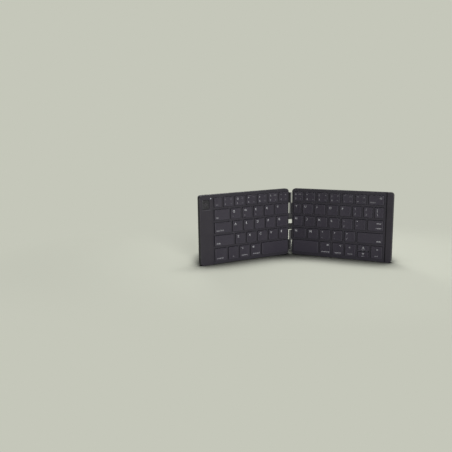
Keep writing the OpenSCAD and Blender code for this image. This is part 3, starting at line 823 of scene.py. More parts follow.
@dataclass(frozen=True)
class CapForm:
    """Form of a key cap: leaning skirt, quarter-round shoulder, top dished across its width, hollow inside.

    The rim is the rounding of the lower edge, and the skirt leans by a quarter as far down as skirt below the
    top. The rings of the top lie inward at those shares of its plan, and polish is how worn the rings are from
    the shoulder up to the first of these.
    """

    height: float = 2.4
    radius: float = 1.1
    wall: float = 1.1
    roof: float = 0.85
    lean: float = 0.12
    shoulder: float = 0.45
    dish: float = 0.15
    rim: float = 0.06
    skirt: float = 1.4
    least_radius: float = 0.15
    inward: tuple[float, ...] = (0.97, 0.82, 0.62, 0.4, 0.2)
    polish: tuple[float, ...] = (0.5, 0.9, 1.0, 1.0, 0.8, 0.25)
    bar_half: Trio = (1.8, 0.25, 0.2)
    bar_up: float = 3.1
    bar_polish: float = 0.6

    def top_at(self, cell: Cell, s: np.ndarray) -> np.ndarray:
        """Height of the top at s: key level minus dish (1 - x^2), x from -1 to 1 across the flat of the top."""
        half = cell.half_size[0] - self.lean - self.shoulder
        x = np.clip((s - cell.middle[0]) / half, -1, 1)
        depth = 0.0 if cell.name.startswith("space") else self.dish
        return KEY_TOP - depth * (1 - x * x)

    def patch(self, cell: Cell, tone: float) -> Patch:
        """The cap's closed shell.

        Rings run from the middle of the inner roof down the inner wall, round the rim, up the outer wall, over the
        shoulder, whose inset is lean + b (1 - cos a) and height b (sin a - 1) below the top, and in to the middle.

        Args:
            cell: The key's place.
            tone: How light this cap is among the others, from 0 to 1.

        Returns:
            The patch, with the values shoulder, touched and tone at each point.
        """
        w, d = cell.half_size
        a = quarter()
        over = self.lean + self.shoulder * (1 - np.cos(a))
        drop = self.shoulder * (np.sin(a) - 1)
        inset = np.concatenate(([self.wall] * 2, [self.wall - self.rim, self.rim, 0.0, self.lean / 4], over))
        low, edge = -self.height, self.rim - self.height
        level = np.concatenate(([-self.roof, edge, low, low, edge, -self.skirt], drop))
        plan = rounded_paths(w - inset, d - inset, np.maximum(self.radius - inset, self.least_radius))
        height = KEY_TOP + np.broadcast_to(level[:, None], plan.shape[:2])
        inward = np.array(self.inward)[:, None, None]
        mid = np.array(cell.middle)
        plan = np.concatenate((plan, plan[-1:] * inward)) + mid
        rings = raised(plan, np.concatenate((height, self.top_at(cell, plan[-len(inward):, :, 0]))))
        poles = [np.array([*mid, KEY_TOP - self.roof]), np.array([*mid, float(self.top_at(cell, mid[:1])[0])])]
        made = skin(rings, *poles).outward()
        count, size = rings.shape[:2]
        top = count - len(self.inward)
        shoulder, touched = np.zeros(count), np.zeros(count)
        shoulder[top + 1 - len(self.polish):top + 1] = self.polish
        touched[top:] = np.linspace(0.1, 1.0, len(self.inward))
        made.values = {
            "shoulder": np.append(np.repeat(shoulder, size), (0.0, 0.0)),
            "touched": np.append(np.repeat(touched, size), (0.0, 1.0)),
            "tone": np.full(len(made.points), tone)}
        return made

    def home_bar(self, cell: Cell, tone: float) -> Patch:
        """The small ridge that marks a home key, low in the middle of its top."""
        mid = cell.middle[0]
        z = float(self.top_at(cell, np.array([mid]))[0])
        bar = pillow(self.bar_half, (mid, cell.t0 + self.bar_up, z), radius=0.25, edge=0.12, steps=3)
        count = len(bar.points)
        bar.values = {"shoulder": np.full(count, self.bar_polish), "touched": np.ones(count),
                      "tone": np.full(count, tone)}
        return bar


class Anchor(Enum):
    """Which corner or side of the cap a legend is set from."""

    TOP_LEFT = (0.0, 1.0)
    TOP_RIGHT = (1.0, 1.0)
    LOW_LEFT = (0.0, 0.0)
    LOW_RIGHT = (1.0, 0.0)
    MIDDLE = (0.5, 0.5)
    LOW_MIDDLE = (0.5, 0.0)


@dataclass(frozen=True)
class Legend:
    """One printed mark: text, capital height, anchor, distance from the anchored edges, strength and width."""

    text: str
    height: float
    anchor: Anchor
    inset: tuple[float, float]
    strength: float
    stretch: float = 1.0


@dataclass
class Lettering:
    """Cuts legends as thin raised ink from Blender's own typeface, bold except where that would fill a letter."""

    thickness: float = 0.024
    capital: float = 0.682
    bold: float = 0.02
    unfit: str = "MW"
    resolution: int = 2
    made: dict[str, Patch] = field(default_factory=dict)

    def outline(self, text: str) -> Patch:
        """Flat letters at capital height 1, from z = -0.5 to 0.5, with their left end at x = 0.

        Args:
            text: What the letters say.

        Returns:
            A closed patch of triangles.
        """
        if text not in self.made:
            curve = bpy.data.curves.new("legend", "FONT")
            curve.body, curve.size, curve.extrude = text, 1 / self.capital, 0.5
            curve.resolution_u = self.resolution
            curve.offset = 0.0 if text in self.unfit else self.bold
            obj = bpy.data.objects.new("legend", curve)
            bpy.context.scene.collection.objects.link(obj)
            bpy.context.view_layer.update()
            mesh = bpy.data.meshes.new_from_object(obj.evaluated_get(bpy.context.evaluated_depsgraph_get()))
            flat = Patch.of(mesh)
            flat.points[:, 0] -= flat.points[:, 0].min()
            bpy.data.objects.remove(obj)
            bpy.data.curves.remove(curve)
            bpy.data.meshes.remove(mesh)
            self.made[text] = flat
        return self.made[text]

    def print_on(self, cell: Cell, form: CapForm, legend: Legend) -> Patch:
        """Sets a legend on a cap, following its dish.

        A point's height is the cap's top at its s, plus its share of the ink's thickness.

        Args:
            cell: The key.
            form: The form of its cap.
            legend: What is printed.

        Returns:
            The patch, with the value strength at each point.
        """
        flat = self.outline(legend.text)
        xy = flat.points[:, :2] * (legend.height * legend.stretch, legend.height)
        size = xy.max(0)
        ax, ay = legend.anchor.value
        tall = legend.height if len(legend.text) > 1 or legend.text.isalnum() else size[1]
        s = cell.s0 + legend.inset[0] if ax == 0 else cell.s1 - legend.inset[0] - size[0]
        t = cell.t0 + legend.inset[1] if ay == 0 else cell.t1 - legend.inset[1] - tall
        if ax == 0.5:
            s = cell.middle[0] - size[0] / 2 + legend.inset[0]
        if ay == 0.5:
            t = cell.middle[1] - tall / 2 + legend.inset[1]
        points = np.column_stack((xy[:, 0] + s, xy[:, 1] + t, np.zeros(len(xy))))
        points[:, 2] = form.top_at(cell, points[:, 0]) + flat.points[:, 2] * self.thickness
        return Patch(points, list(flat.faces), {"strength": np.full(len(points), legend.strength)})


@dataclass
class Legends:
    """Which legends each key carries, as the photograph shows them."""

    symbols: str = "!@#$%^&*()_+"
    extras: tuple[str, ...] = ("☼", "☀", "▭", "⌕", "◀◀", "▶", "▶▶", "♪", "♫", "⏏", "✉", "⎙")
    heavy: str = "abfgsm"
    light: str = "ijoptuy"
    pairs: ClassVar[dict[str, tuple[str, float, float]]] = {
        "bracket_open": ("{[", 2.2, 0.24), "bracket_close": ("}]", 2.2, 0.3), "backslash": ("|\\", 3.2, 0.32),
        "semicolon": (":;", 2.8, 0.5), "quote": ("\"'", 2.8, 0.5), "comma": ("<,", 2.3, 0.4),
        "period": (">.", 2.3, 0.46), "slash": ("?/", 2.5, 0.46)}
    words: ClassVar[dict[str, tuple[str, Anchor, float, float]]] = {
        "tab": ("tab", Anchor.LOW_LEFT, 0.3, 1.0), "caps": ("caps lock", Anchor.LOW_LEFT, 0.27, 1.1),
        "shift_left": ("shift", Anchor.LOW_LEFT, 0.38, 1.3), "control": ("control", Anchor.LOW_LEFT, 0.28, 1.2),
        "shift_right": ("shift", Anchor.LOW_RIGHT, 0.34, 1.2), "fn": ("fn", Anchor.LOW_MIDDLE, 0.18, 1.0),
        "backspace": ("delete", Anchor.LOW_LEFT, 0.13, 1.05), "esc": ("esc", Anchor.LOW_LEFT, 0.12, 1.0)}
    held: ClassVar[dict[str, tuple[str, str, float, float, float]]] = {
        "option_left": ("⌥", "option", 0.48, 0.27, 1.3), "command_left": ("⌘", "command", 0.48, 0.31, 1.05),
        "command_right": ("⌘", "command", 0.42, 0.33, 1.05), "option_right": ("⌥", "option", 0.46, 0.33, 1.2)}
    arrows: ClassVar[dict[str, tuple[str, str]]] = {
        "arrow_up": ("▲", "pg up"), "arrow_down": ("▼", "pg dn"), "arrow_left": ("◀", "home"),
        "arrow_right": ("▶", "end")}

    def letter(self, name: str) -> list[Legend]:
        """A bright capital near the upper left corner; the first three also have a small second mark."""
        strength = 0.5 if name in self.heavy else 0.32 if name in self.light else 0.42
        marks = [Legend(name.upper(), 3.0, Anchor.TOP_LEFT, (2.8, 2.7), strength)]
        if name in "qwe":
            marks.append(Legend(str("qwe".index(name) + 1), 1.7, Anchor.LOW_LEFT, (3.0, 2.8), 0.26))
        return marks

    def digit(self, name: str, index: int) -> list[Legend]:
        """Shifted symbol over the digit at the left, a function icon over its number at the right."""
        low = {"minus": "-", "equals": "="}.get(name, name)
        bold = name in "2345"
        return [Legend(self.symbols[index], 2.2, Anchor.TOP_LEFT, (2.5, 2.2), 0.28 if bold else 0.22),
                Legend(low, 2.3, Anchor.LOW_LEFT, (2.6, 2.4), 0.34 if bold else 0.24),
                Legend(self.extras[index], 1.7, Anchor.TOP_RIGHT, (2.2, 2.3), 0.1),
                Legend(f"F{index + 1}", 1.4, Anchor.LOW_RIGHT, (2.2, 2.6), 0.08)]

    def of(self, name: str) -> list[Legend]:
        """The legends of one key.

        Args:
            name: The key's name.

        Returns:
            Its legends, none for the space bars.
        """
        digits = "1 2 3 4 5 6 7 8 9 0 minus equals".split()
        if len(name) == 1 and name.isalpha():
            return self.letter(name)
        if name in digits:
            return self.digit(name, digits.index(name))
        if name in self.pairs:
            both, height, strength = self.pairs[name]
            return [Legend(both[0], height, Anchor.TOP_LEFT, (3.0, 2.4), strength),
                    Legend(both[1], height, Anchor.LOW_LEFT, (3.0, 3.2), strength * 0.9)]
        if name in self.words:
            text, anchor, strength, stretch = self.words[name]
            aside = 0.0 if anchor is Anchor.LOW_MIDDLE else 2.4
            found = [Legend(text, 2.0, anchor, (aside, 2.6), strength, stretch)]
            if name == "backspace":
                found.append(Legend("⌫", 2.2, Anchor.TOP_RIGHT, (2.6, 2.6), 0.22))
            return found
        if name in self.held:
            symbol, text, bright, strength, stretch = self.held[name]
            inset = 1.4 if name == "command_right" else 2.4
            high, low = (Anchor.TOP_RIGHT, Anchor.LOW_RIGHT) if name.endswith("right") else (
                Anchor.TOP_LEFT, Anchor.LOW_LEFT)
            return [Legend(symbol, 2.3, high, (2.4, 2.6), bright),
                    Legend(text, 1.95, low, (inset, 2.8), strength, stretch)]
        if name == "enter":
            return [Legend("enter", 1.8, Anchor.TOP_RIGHT, (2.3, 3.2), 0.42, 1.1),
                    Legend("return", 1.8, Anchor.LOW_RIGHT, (2.3, 3.2), 0.34, 1.1)]
        if name not in self.arrows:
            return []
        symbol, text = self.arrows[name]
        if name in ("arrow_up", "arrow_down"):
            return [Legend(symbol, 2.6, Anchor.MIDDLE, (0.0, 1.1), 0.22),
                    Legend(text, 1.3, Anchor.LOW_MIDDLE, (0.0, 1.6), 0.2)]
        anchor = Anchor.TOP_LEFT if name == "arrow_left" else Anchor.TOP_RIGHT
        return [Legend(symbol, 2.1, anchor, (5.0, 3.4), 0.18),
                Legend(text, 1.8, Anchor.LOW_MIDDLE, (0.0, 2.8), 0.2, 1.15)]


@dataclass
class KeyField:
    """The key caps and their legends, one piece of each to a CAD key node."""

    cap_finish: Material
    ink_finish: Material
    form: CapForm = field(default_factory=CapForm)
    layout: KeyLayout = field(default_factory=KeyLayout)
    legends: Legends = field(default_factory=Legends)
    lettering: Lettering = field(default_factory=Lettering)
    tone_seed: int = 7

    def build(self) -> None:
        """Makes, dresses and seats every cap and legend."""
        banks = key_banks(self.layout)
        cells = [c.name for c in self.layout.cells()]
        tones = dict(zip(cells, np.random.default_rng(self.tone_seed).random(len(cells))))
        for node, bank in banks.items():
            self._bank(node, bank, tones)

    def _bank(self, node: str, cells: list[Cell], tones: dict[str, float]) -> None:
        """Makes the caps and legends of one node.

        Args:
            node: The CAD node that the caps stand for, which is also its body's name.
            cells: Its keys, all on one half.
            tones: How light each cap is.
        """
        place = HalfFrame(cells[0].side)
        parts = [self.form.patch(c, tones[c.name]) for c in cells]
        parts += [self.form.home_bar(c, tones[c.name]) for c in cells if c.name in ("f", "j")]
        caps = Patch.join(parts).to_object(node.replace("key", "cap", 1), place)
        seat(caps, node, "key_plastic", self.cap_finish, node)
        marks = [self.lettering.print_on(c, self.form, m) for c in cells for m in self.legends.of(c.name)]
        if marks:
            inks = Patch.join(marks).to_object(node.replace("key", "legend", 1), place, smooth=False)
            seat(inks, node, "key_plastic", self.ink_finish)


@dataclass
class KeySprings:
    """The rubber domes and crossed links under the keys, parted by key."""

    finishes: dict[str, tuple[str, Material]]
    layout: KeyLayout = field(default_factory=KeyLayout)

    def build(self) -> None:
        """Parts the solids of both halves, named in finishes with their slot and finish, by key node."""
        for side in Side:
            for word, (slot, finish) in self.finishes.items():
                solid = f"{side.value}_{word}"
                whole = Patch.of(frame["nodes"][solid].data, MM_PER_M)
                for node, cells in key_banks(self.layout).items():
                    patch = self._under(cells, whole)
                    if cells[0].side is side and len(patch.points):
                        name = node.replace("keys" if "keys" in node else "key", word, 1)
                        piece = patch.to_object(name, None, smooth=False)
                        seat(piece, side.body, slot, finish, solid)
                        self._flatten(piece, f"{node}_press", HalfFrame(side), patch)

    @staticmethod
    def _under(cells: list[Cell], whole: Patch) -> Patch:
        """The part of a solid that lies under some keys.

        Args:
            cells: The keys, all on one half.
            whole: The solid, in millimetres in the row frame.

        Returns:
            The patch, with the points numbered anew.
        """
        points, corners = whole.points, whole.faces[0]
        s, t, _ = HalfFrame(cells[0].side).to_half(points).T
        inside = np.any([(s > c.s0) & (s < c.s1) & (t > c.t0) & (t < c.t1) for c in cells], axis=0)
        number = np.cumsum(inside) - 1
        return Patch(points[inside], [number[corners[inside[corners[:, 0]]]]])

    @staticmethod
    def _flatten(piece: bpy.types.Object, joint: str, place: HalfFrame, patch: Patch) -> None:
        """Gives a piece a mesh of its own.

        Args:
            piece: The domes or links.
            joint: The key's joint; not used.
            place: The half's frame; not used.
            patch: The piece's points; not used.
        """
        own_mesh(piece)


def dress(obj: bpy.types.Object, finish: Material) -> None:
    """Gives an object its one material."""
    obj.data.materials.clear()
    obj.data.materials.append(finish)


def seat(obj: bpy.types.Object, body: str, slot: str, finish: Material, *nodes: str) -> None:
    """Gives a new piece its finish and lets it ride on a body.

    Args:
        obj: The piece.
        body: The CAD body it moves with.
        slot: The record's material slot; not used.
        finish: Its material.
        nodes: CAD nodes that it stands for.
    """
    dress(obj, finish)
    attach(obj, body)
    if nodes:
        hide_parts(*nodes)
    log.info("%s: %d faces, on %s", obj.name, len(obj.data.polygons), body)


# ---- hinge -------------------------------------------------------------------------------------------------


@dataclass
class CableSleeves:
    """The two ribbed rubber sleeves over the ribbon cable, each bending between the halves."""

    finish: Material
    length: float = 9.3
    bottoms: tuple[float, float] = (51.9, 36.8)
    front: float = -0.9
    back: float = -4.3
    ribs: int = 5
    rib_steps: int = 12
    groove: float = 0.34
    corner: float = 0.8
    gap: float = 0.03
    blend_level: float = 0.045

    def ends(self) -> tuple[np.ndarray, np.ndarray]:
        """Where the sleeve's middle line meets each half, as row x and y in millimetres."""
        z = (self.front + self.back) / 2
        found = []
        for side, s in ((Side.LEFT, HALF_WIDTH - self.gap), (Side.RIGHT, self.gap)):
            found.append(MM_PER_M * HalfFrame(side).to_row(np.array([[s, 0.0, z]]))[0, :2])
        return found[0], found[1]

    def build(self) -> None:
        """Makes both sleeves as one piece that lies between the halves."""
        patches = [self._sleeve(bottom) for bottom in self.bottoms]
        piece = Patch.join(patches).to_object("cable_sleeve_pair", None)
        dress(piece, self.finish)
        a, b = self.ends()
        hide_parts("cable_sleeves")
        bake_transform(piece)
        log.info("%s: %d faces, between the halves", piece.name, len(piece.data.polygons))

    def _sleeve(self, bottom: float) -> Patch:
        """One sleeve: a rounded rectangle carried along a bent line, its thickness rising and falling with ribs.

        The line is a quadratic curve from one half to the other through the bend,
        (1-u)^2 a + 2u(1-u) m + u^2 b. Half the thickness is h - g (1 - |cos(pi n u)|^0.5), so that n rounded ribs
        stand between sharp grooves.

        Args:
            bottom: Its lower end along the hinge.

        Returns:
            The closed patch, in row millimetres.
        """
        a, b = self.ends()
        mid = np.array([0.0, HINGE_Y - (self.front + self.back) / 2 / math.cos(SWING)])
        u = np.linspace(0, 1, self.rib_steps * self.ribs + 1)
        line = (1 - u)[:, None] ** 2 * a + (2 * u * (1 - u))[:, None] * mid + u[:, None] ** 2 * b
        slope = np.gradient(line, u, axis=0)
        slope /= np.linalg.norm(slope, axis=1)[:, None]
        normal = np.stack((slope[:, 1], -slope[:, 0]), -1)
        thick = (self.front - self.back) / 2
        wave = 1 - np.abs(np.cos(math.pi * self.ribs * u)) ** 0.5
        half_t = thick - self.groove * (1 - wave)
        half_l = self.length / 2 - self.groove * (1 - wave)
        ring = rounded_paths(half_t, half_l, np.minimum(self.corner, half_t * 0.7), corner=4, side=3)
        across = ring[..., :1] * normal[:, None, :]
        points = np.concatenate((line[:, None] + across, bottom + self.length / 2 + ring[..., 1:]), -1)
        poles = [np.array([*line[k], bottom + self.length / 2]) for k in (0, -1)]
        return skin(points, *poles).outward()


# ---- fittings of the left strip ----------------------------------------------------------------------------


@dataclass
class StripFittings:
    """Pairing button, status light and the fine printed line on the broad left strip.

    Levels are of z. The flange of the button and the collar of the light pipe reach from the first of their
    levels to the second, under the strip cover.
    """

    gloss: Material
    lens: Material
    ink: Material
    mark: Material
    button: tuple[float, float] = (9.25, 85.0)
    button_half: tuple[float, float] = (5.05, 6.3)
    button_top: float = STRIP_TOP - 0.1
    button_corner: float = 1.8
    button_edge: float = 0.4
    button_dish: float = 0.12
    button_inward: tuple[float, ...] = (0.93, 0.8, 0.6, 0.4, 0.2)
    flange: float = 0.7
    flange_levels: tuple[float, float] = (STRIP_TOP - 1.7, STRIP_TOP - 1.1)
    mark_level: float = STRIP_TOP - 0.19
    mark_rings: tuple[tuple[float, float], ...] = ((2.05, 1.75), (0.55, 0.01))
    light: tuple[float, float] = (16.9, 92.8)
    light_radius: float = 0.85
    light_foot: tuple[float, float] = (-3.9, -3.8)
    light_dome: float = 0.2
    collar: float = 0.45
    collar_levels: tuple[float, float] = (-1.8, -1.3)
    line_half: Trio = (6.4, 0.11, 0.012)
    line_middle: Trio = (9.6, HALF_DEPTH - 21.0, STRIP_TOP + 0.006)

    def build(self) -> None:
        """Makes and seats the fittings."""
        mark = Patch.join([self._disc_ring(*radii) for radii in self.mark_rings])
        mark.values = {"strength": np.full(len(mark.points), 0.5)}
        line = pillow(self.line_half, self.line_middle, radius=0.1, edge=0.006, steps=2)
        line.values = {"strength": np.full(len(line.points), 0.1)}
        button, half = "pairing_button", Side.LEFT.body
        for patch, name, smooth, body, slot, finish, nodes in (
                (self._button(), "pairing_button_cap", True, button, "button_plastic", self.gloss, [button]),
                (mark, "pairing_button_mark", False, button, "button_plastic", self.mark, []),
                (self._lens(), "status_light_pipe", True, half, "light_lens", self.lens, ["status_light"]),
                (line, "strip_hairline", True, half, "strip_plastic", self.ink, [])):
            seat(patch.to_object(name, HalfFrame(Side.LEFT), smooth), body, slot, finish, *nodes)

    def _button(self) -> Patch:
        """The button: dished pad with rounded edges, over the flange that the strip cover keeps.

        The pad's top is lower in the middle by dish (1 - r^2), r from 0 at its centre to 1 at its rim.
        """
        w, d = self.button_half
        under, ledge = self.flange_levels
        top, edge, dish = self.button_top, self.button_edge, self.button_dish
        a = quarter()
        inset = np.concatenate(([-self.flange, -self.flange, 0.0], edge * (1 - np.cos(a))))
        level = np.concatenate(([under, ledge, ledge], top - edge + edge * np.sin(a)))
        plan = rounded_paths(w - inset, d - inset, self.button_corner - inset)
        r = np.array(self.button_inward)
        plan = np.concatenate((plan, plan[-1:] * r[:, None, None])) + np.array(self.button)
        rings = raised(plan, np.concatenate((level, top - dish * (1 - r * r))))
        return skin(rings, np.array([*self.button, under]), np.array([*self.button, top - dish])).outward()

    def _disc_ring(self, outer: float, inner: float) -> Patch:
        """A thin flat ring printed about the button's middle."""
        low, high = self.mark_level, self.mark_level + 0.02
        return lathe(self.button, [outer, outer, inner, inner, outer], [low, high, high, low, low], steps=48)

    def _lens(self) -> Patch:
        """Light pipe with a low domed top and the collar that holds it under the cover."""
        r, wide, dome = self.light_radius, self.light_radius + self.collar, self.light_dome
        (foot, bevel), (low, high) = self.light_foot, self.collar_levels
        a = quarter()[:-1]
        radii = np.concatenate(([r * 0.9, r, r, wide, wide, r], r * np.cos(a * 0.98)))
        heights = np.concatenate(([foot, bevel, low, low, high, high], STRIP_TOP - dome + dome * np.sin(a)))
        return lathe(self.light, radii, heights, steps=32, poles=(foot, STRIP_TOP))


# ---- carried-over solids -----------------------------------------------------------------------------------


def dress_solids(finishes: dict[str, Material]) -> None:
    """Gives each CAD node that stays its own finish.

    Args:
        finishes: Node name to material.
    """
    for node, material in finishes.items():
        dress(frame["nodes"][node], material)
        log.info("%s: %s", node, material.name)


# ---- studio ------------------------------------------------------------------------------------------------


@dataclass
class Studio:
    """Pale floor and backdrop, soft light and the camera at the photograph's angle.

    Lengths are in metres. A panel is a soft square lamp that faces aim: its name, place, side and power in
    watts. The floor runs from flat[0] to flat[1] and curves up behind that, along curved; it is lit up to lit[0]
    from the middle and plain beyond lit[1]. A contact shadow is painted into the floor's colour from ambient
    occlusion: it reaches as far as contact, and by further more behind the hinge, where a painted shade makes it
    also deeper: more over behind[0], less from behind[1] to behind[2] and from one of the ends to the other. It
    runs through the range shade, from its own colour to the floor's.
    """

    panels: ClassVar = (("front_panel", (0.34, -1.45, 0.26), 0.5, 24.0), ("top_panel", (0.1, 0.2, 1.2), 0.5, 11.4),
                        ("back_panel", (-0.4, 1.4, 0.5), 0.6, 8.0))
    aim: ClassVar[Trio] = (0.0, 0.0, 0.04)
    picture_px: ClassVar[int] = 452
    sensor_mm: ClassVar[float] = 36.0
    clip: ClassVar[tuple[float, float]] = (0.01, 20.0)
    focal_px: float = 550.0
    azimuth: float = -0.55
    elevation: float = 10.75
    roll: float = -0.80
    distance: float = 0.81414
    target: Trio = (-0.09521, HINGE_Y / MM_PER_M, 0.04357)
    ground: Color = field(default_factory=lambda: paint(197, 199, 186))
    sky: Color = (0.95, 0.97, 1.0, 1.0)
    sky_strength: float = 0.12
    flat: tuple[float, float] = (-3.0, 0.9)
    curved: tuple[float, float] = (0.95, 2.1)
    curve_across: float = 0.9
    half_width: float = 4.0
    lit: tuple[float, float] = (0.13, 0.30)
    lit_shares: Trio = (0.6, 1.0, 1.0)
    # painted contact shadow on the floor: its reach, its further reach behind the hinge, the painted shade added
    # there, its range and its colour
    contact: float = 0.07
    further: float = 0.06
    deeper: float = 0.28
    shade: tuple[float, float] = (0.36, 0.97)
    shadow: Color = (0.02, 0.02, 0.02, 1.0)
    behind: Trio = (0.015, 0.06, 0.12)
    ends: tuple[float, float] = (0.124, 0.152)

    def build(self) -> None:
        """Makes the camera, the floor, the world and the lamps."""
        self._camera()
        self._floor()
        self._world()
        for panel in self.panels:
            self._panel(*panel)

    def _camera(self) -> None:
        """Camera looking back from the target along the fitted angles, turned by the roll about its own view."""
        az, el = math.radians(self.azimuth), math.radians(self.elevation)
        back = Vector((math.sin(az) * math.cos(el), -math.cos(az) * math.cos(el), math.sin(el)))
        data = bpy.data.cameras.new("view")
        data.sensor_width = self.sensor_mm
        data.lens = self.focal_px / self.picture_px * self.sensor_mm
        data.clip_start, data.clip_end = self.clip
        cam = bpy.data.objects.new("view", data)
        bpy.context.scene.collection.objects.link(cam)
        cam.location = Vector(self.target) + back * self.distance
        cam.rotation_mode = "QUATERNION"
        aim = (-back).to_track_quat("-Z", "Y")
        cam.rotation_quaternion = aim @ Quaternion((0, 0, 1), math.radians(self.roll))
        bpy.context.scene.camera = cam

    def _floor(self) -> None:
        """A floor that curves up into a backdrop: past y0 its height is (y - y0)^2 over the curve's breadth."""
        y = np.concatenate((np.linspace(*self.flat, 12), np.linspace(*self.curved, 24)))
        z = np.where(y > self.flat[1], (y - self.flat[1]) ** 2 / self.curve_across, 0.0)
        x = np.linspace(-self.half_width, self.half_width, 24)
        grid = np.stack(np.broadcast_arrays(x[None], y[:, None], z[:, None]), -1)
        rows, cols = grid.shape[:2]
        i = np.arange((rows - 1) * cols).reshape(rows - 1, cols)[:, :-1].ravel()
        floor = Patch(grid.reshape(-1, 3) * MM_PER_M, [np.stack((i, i + 1, i + cols + 1, i + cols), -1)])
        obj = floor.to_object("studio_floor", None)
        dress(obj, self._floor_finish())

    def _floor_finish(self) -> Material:
        """The floor's material.

        Returns:
            A material that is lit, and takes the keyboard's shadow, near it, and shows its own plain colour far
            off. Near it a contact shadow is painted into its colour from ambient occlusion, and a painted shade
            deepens it behind the keyboard, where y + |x| tan(swing) passes the hinge.
        """
        made = bpy.data.materials.new("studio_floor")
        made.use_nodes = True
        graph = Graph(made.node_tree)
        graph.tree.nodes.clear()
        place = graph.node("TexCoord").outputs["Object"]
        split = graph.node("SeparateXYZ", {0: place}).outputs
        aside = graph.math("ABSOLUTE", split["X"])
        # painted shade: behind the hinge, away from the ends, the floor's colour is darkened further, so the floor
        # seen through the gap between the halves is dark
        past = graph.line(aside, math.tan(SWING), graph.math("SUBTRACT", split["Y"], HINGE_Y / MM_PER_M))
        behind = graph.times(graph.ramp(past, 0.0, self.behind[0]), graph.ramp(past, *self.behind[1:], 1.0, 0.0))
        behind = graph.times(behind, graph.ramp(aside, *self.ends, 1.0, 0.0))
        wide = graph.line(behind, self.further, self.contact)
        # painted contact shadow: where ambient occlusion finds the keyboard near, the floor's colour goes towards
        # the shadow colour
        open_sky = graph.node("AmbientOcclusion", {"Distance": wide}, samples=16).outputs["AO"]
        near = graph.line(behind, -self.deeper, open_sky)
        tone = graph.mix(graph.ramp(near, *self.shade), self.shadow, self.ground)
        matte = graph.node("BsdfDiffuse", {"Color": tone}).outputs[0]
        glow = graph.node("Emission", {"Color": self.ground, "Strength": 1.0}).outputs[0]
        path = graph.node("LightPath").outputs
        seen = graph.math("MAXIMUM", graph.math("MAXIMUM", path["Is Camera Ray"], path["Is Glossy Ray"]),
                          path["Is Transmission Ray"])
        even = graph.node("VectorMath", {0: place, 1: self.lit_shares}, operation="MULTIPLY").outputs[0]
        reach = graph.node("VectorMath", {0: even}, operation="LENGTH").outputs["Value"]
        share = graph.times(graph.ramp(reach, *self.lit), seen)
        surface = graph.node("MixShader", {0: share, 1: matte, 2: glow}).outputs[0]
        graph.node("OutputMaterial", {"Surface": surface})
        return made

    def _world(self) -> None:
        """An even pale world, plain in the floor's colour where the camera sees it."""
        world = bpy.data.worlds.new("studio")
        world.use_nodes = True
        graph = Graph(world.node_tree)
        graph.tree.nodes.clear()
        light = graph.node("Background", {"Color": self.sky, "Strength": self.sky_strength}).outputs[0]
        plain = graph.node("Background", {"Color": self.ground, "Strength": 1.0}).outputs[0]
        seen = graph.node("LightPath").outputs["Is Camera Ray"]
        surface = graph.node("MixShader", {0: seen, 1: light, 2: plain}).outputs[0]
        graph.node("OutputWorld", {"Surface": surface})
        bpy.context.scene.world = world

    def _panel(self, name: str, at: Trio, size: float, power: float) -> None:
        """Makes one of the panels."""
        data = bpy.data.lights.new(name, "AREA")
        data.shape, data.size, data.energy = "SQUARE", size, power
        lamp = bpy.data.objects.new(name, data)
        bpy.context.scene.collection.objects.link(lamp)
        lamp.location = at
        lamp.rotation_mode = "QUATERNION"
        lamp.rotation_quaternion = (Vector(self.aim) - Vector(at)).to_track_quat("-Z", "Y")


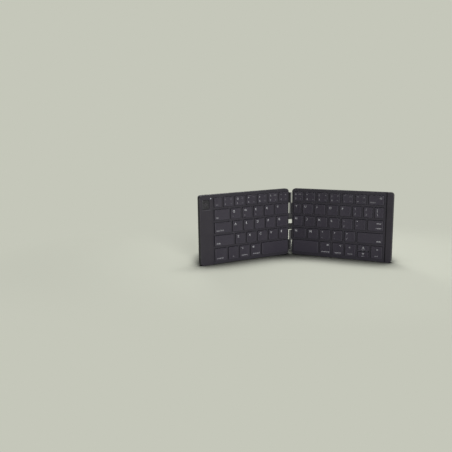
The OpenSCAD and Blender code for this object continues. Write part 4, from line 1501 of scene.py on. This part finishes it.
def solid_finishes(effects: Effects) -> dict[str, Material]:
    """The material of each CAD node that stays.

    Args:
        effects: The shared shader groups.

    Returns:
        Node name to material.
    """
    solid, flat = (1.0, 1.0, 1.0), (0.02, 0.02, 1.0)
    rubber = SoftRubber("foot_rubber", paint(34, 33, 35), 0.8)
    zinc = BareMetal("dark_zinc", paint(92, 92, 96), 0.42, solid, 2600.0)
    steel = BareMetal("rolled_steel", paint(170, 171, 174), 0.4, flat, 2400.0)
    film = Sheet("switch_film", paint(40, 42, 48), 0.4, paint(96, 98, 102), 260.0)
    bracket = PaintedMetal("bracket_paint", paint(24, 23, 25), 0.5, paint(120, 120, 124))
    found: dict[str, Finish] = {
        "hinge_pins": BareMetal("ground_pin", paint(188, 188, 192), 0.22, (1.0, 1.0, 0.05), 6000.0),
        "battery": BareMetal("pouch_foil", paint(196, 197, 200), 0.34, solid, 500.0),
        "circuit_board": Sheet("solder_mask", paint(24, 82, 56), 0.35, paint(150, 130, 70), 700.0, 0.8),
        "charging_port": BareMetal("plated_steel", paint(182, 182, 184), 0.3, (1.0, 1.0, 0.03), 3500.0)}
    for side in Side:
        half = {"base": ShellPlastic(f"{side.value}_case", paint(30, 28, 35), 0.62, side, 3400.0, True),
                "key_frame": ShellPlastic(f"{side.value}_deck", paint(31, 28, 36), 0.6, side, 3400.0, True),
                "strip_cover": ShellPlastic(f"{side.value}_strip", paint(28, 24, 32), 0.56, side, 4200.0, False,
                                            STRIP_TOP),
                "key_plate": steel, "membrane": film, "feet": rubber, "screws": zinc, "hinge_brackets": bracket}
        found.update({f"{side.value}_{part}": finish for part, finish in half.items()})
    made = {finish.name: finish.build(effects) for finish in found.values()}
    return {node: made[finish.name] for node, finish in found.items()}


def main() -> None:
    """Builds the keyboard's looks and the studio."""
    logging.basicConfig(level=logging.INFO, format="%(message)s")
    bpy.context.scene.view_settings.view_transform = "Standard"
    effects = Effects()
    Studio().build()
    dress_solids(solid_finishes(effects))
    caps = CapPlastic("cap_plastic", paint(38, 34, 44), 0.5).build(effects)
    ink = Ink("legend_ink", paint(222, 222, 226), 0.5, paint(44, 42, 48)).build(effects)
    KeyField(caps, ink).build()
    domes = SoftRubber("dome_silicone", paint(120, 120, 118), 0.6, 0.1).build(effects)
    links = SoftRubber("link_plastic", paint(84, 84, 86), 0.5, 0.1).build(effects)
    KeySprings({"domes": ("silicone", domes), "scissors": ("link_plastic", links)}).build()
    CableSleeves(SoftRubber("sleeve_rubber", paint(17, 16, 18), 0.72, 0.3).build(effects)).build()
    StripFittings(GlossCap("button_gloss", paint(24, 23, 28), 0.26, paint(28, 25, 30)).build(effects),
                  Lens("light_lens", paint(158, 160, 168), 0.3).build(effects), ink,
                  Ink("button_mark", paint(72, 64, 72), 0.4, paint(40, 36, 42)).build(effects)).build()


if __name__ == "__main__":
    main()
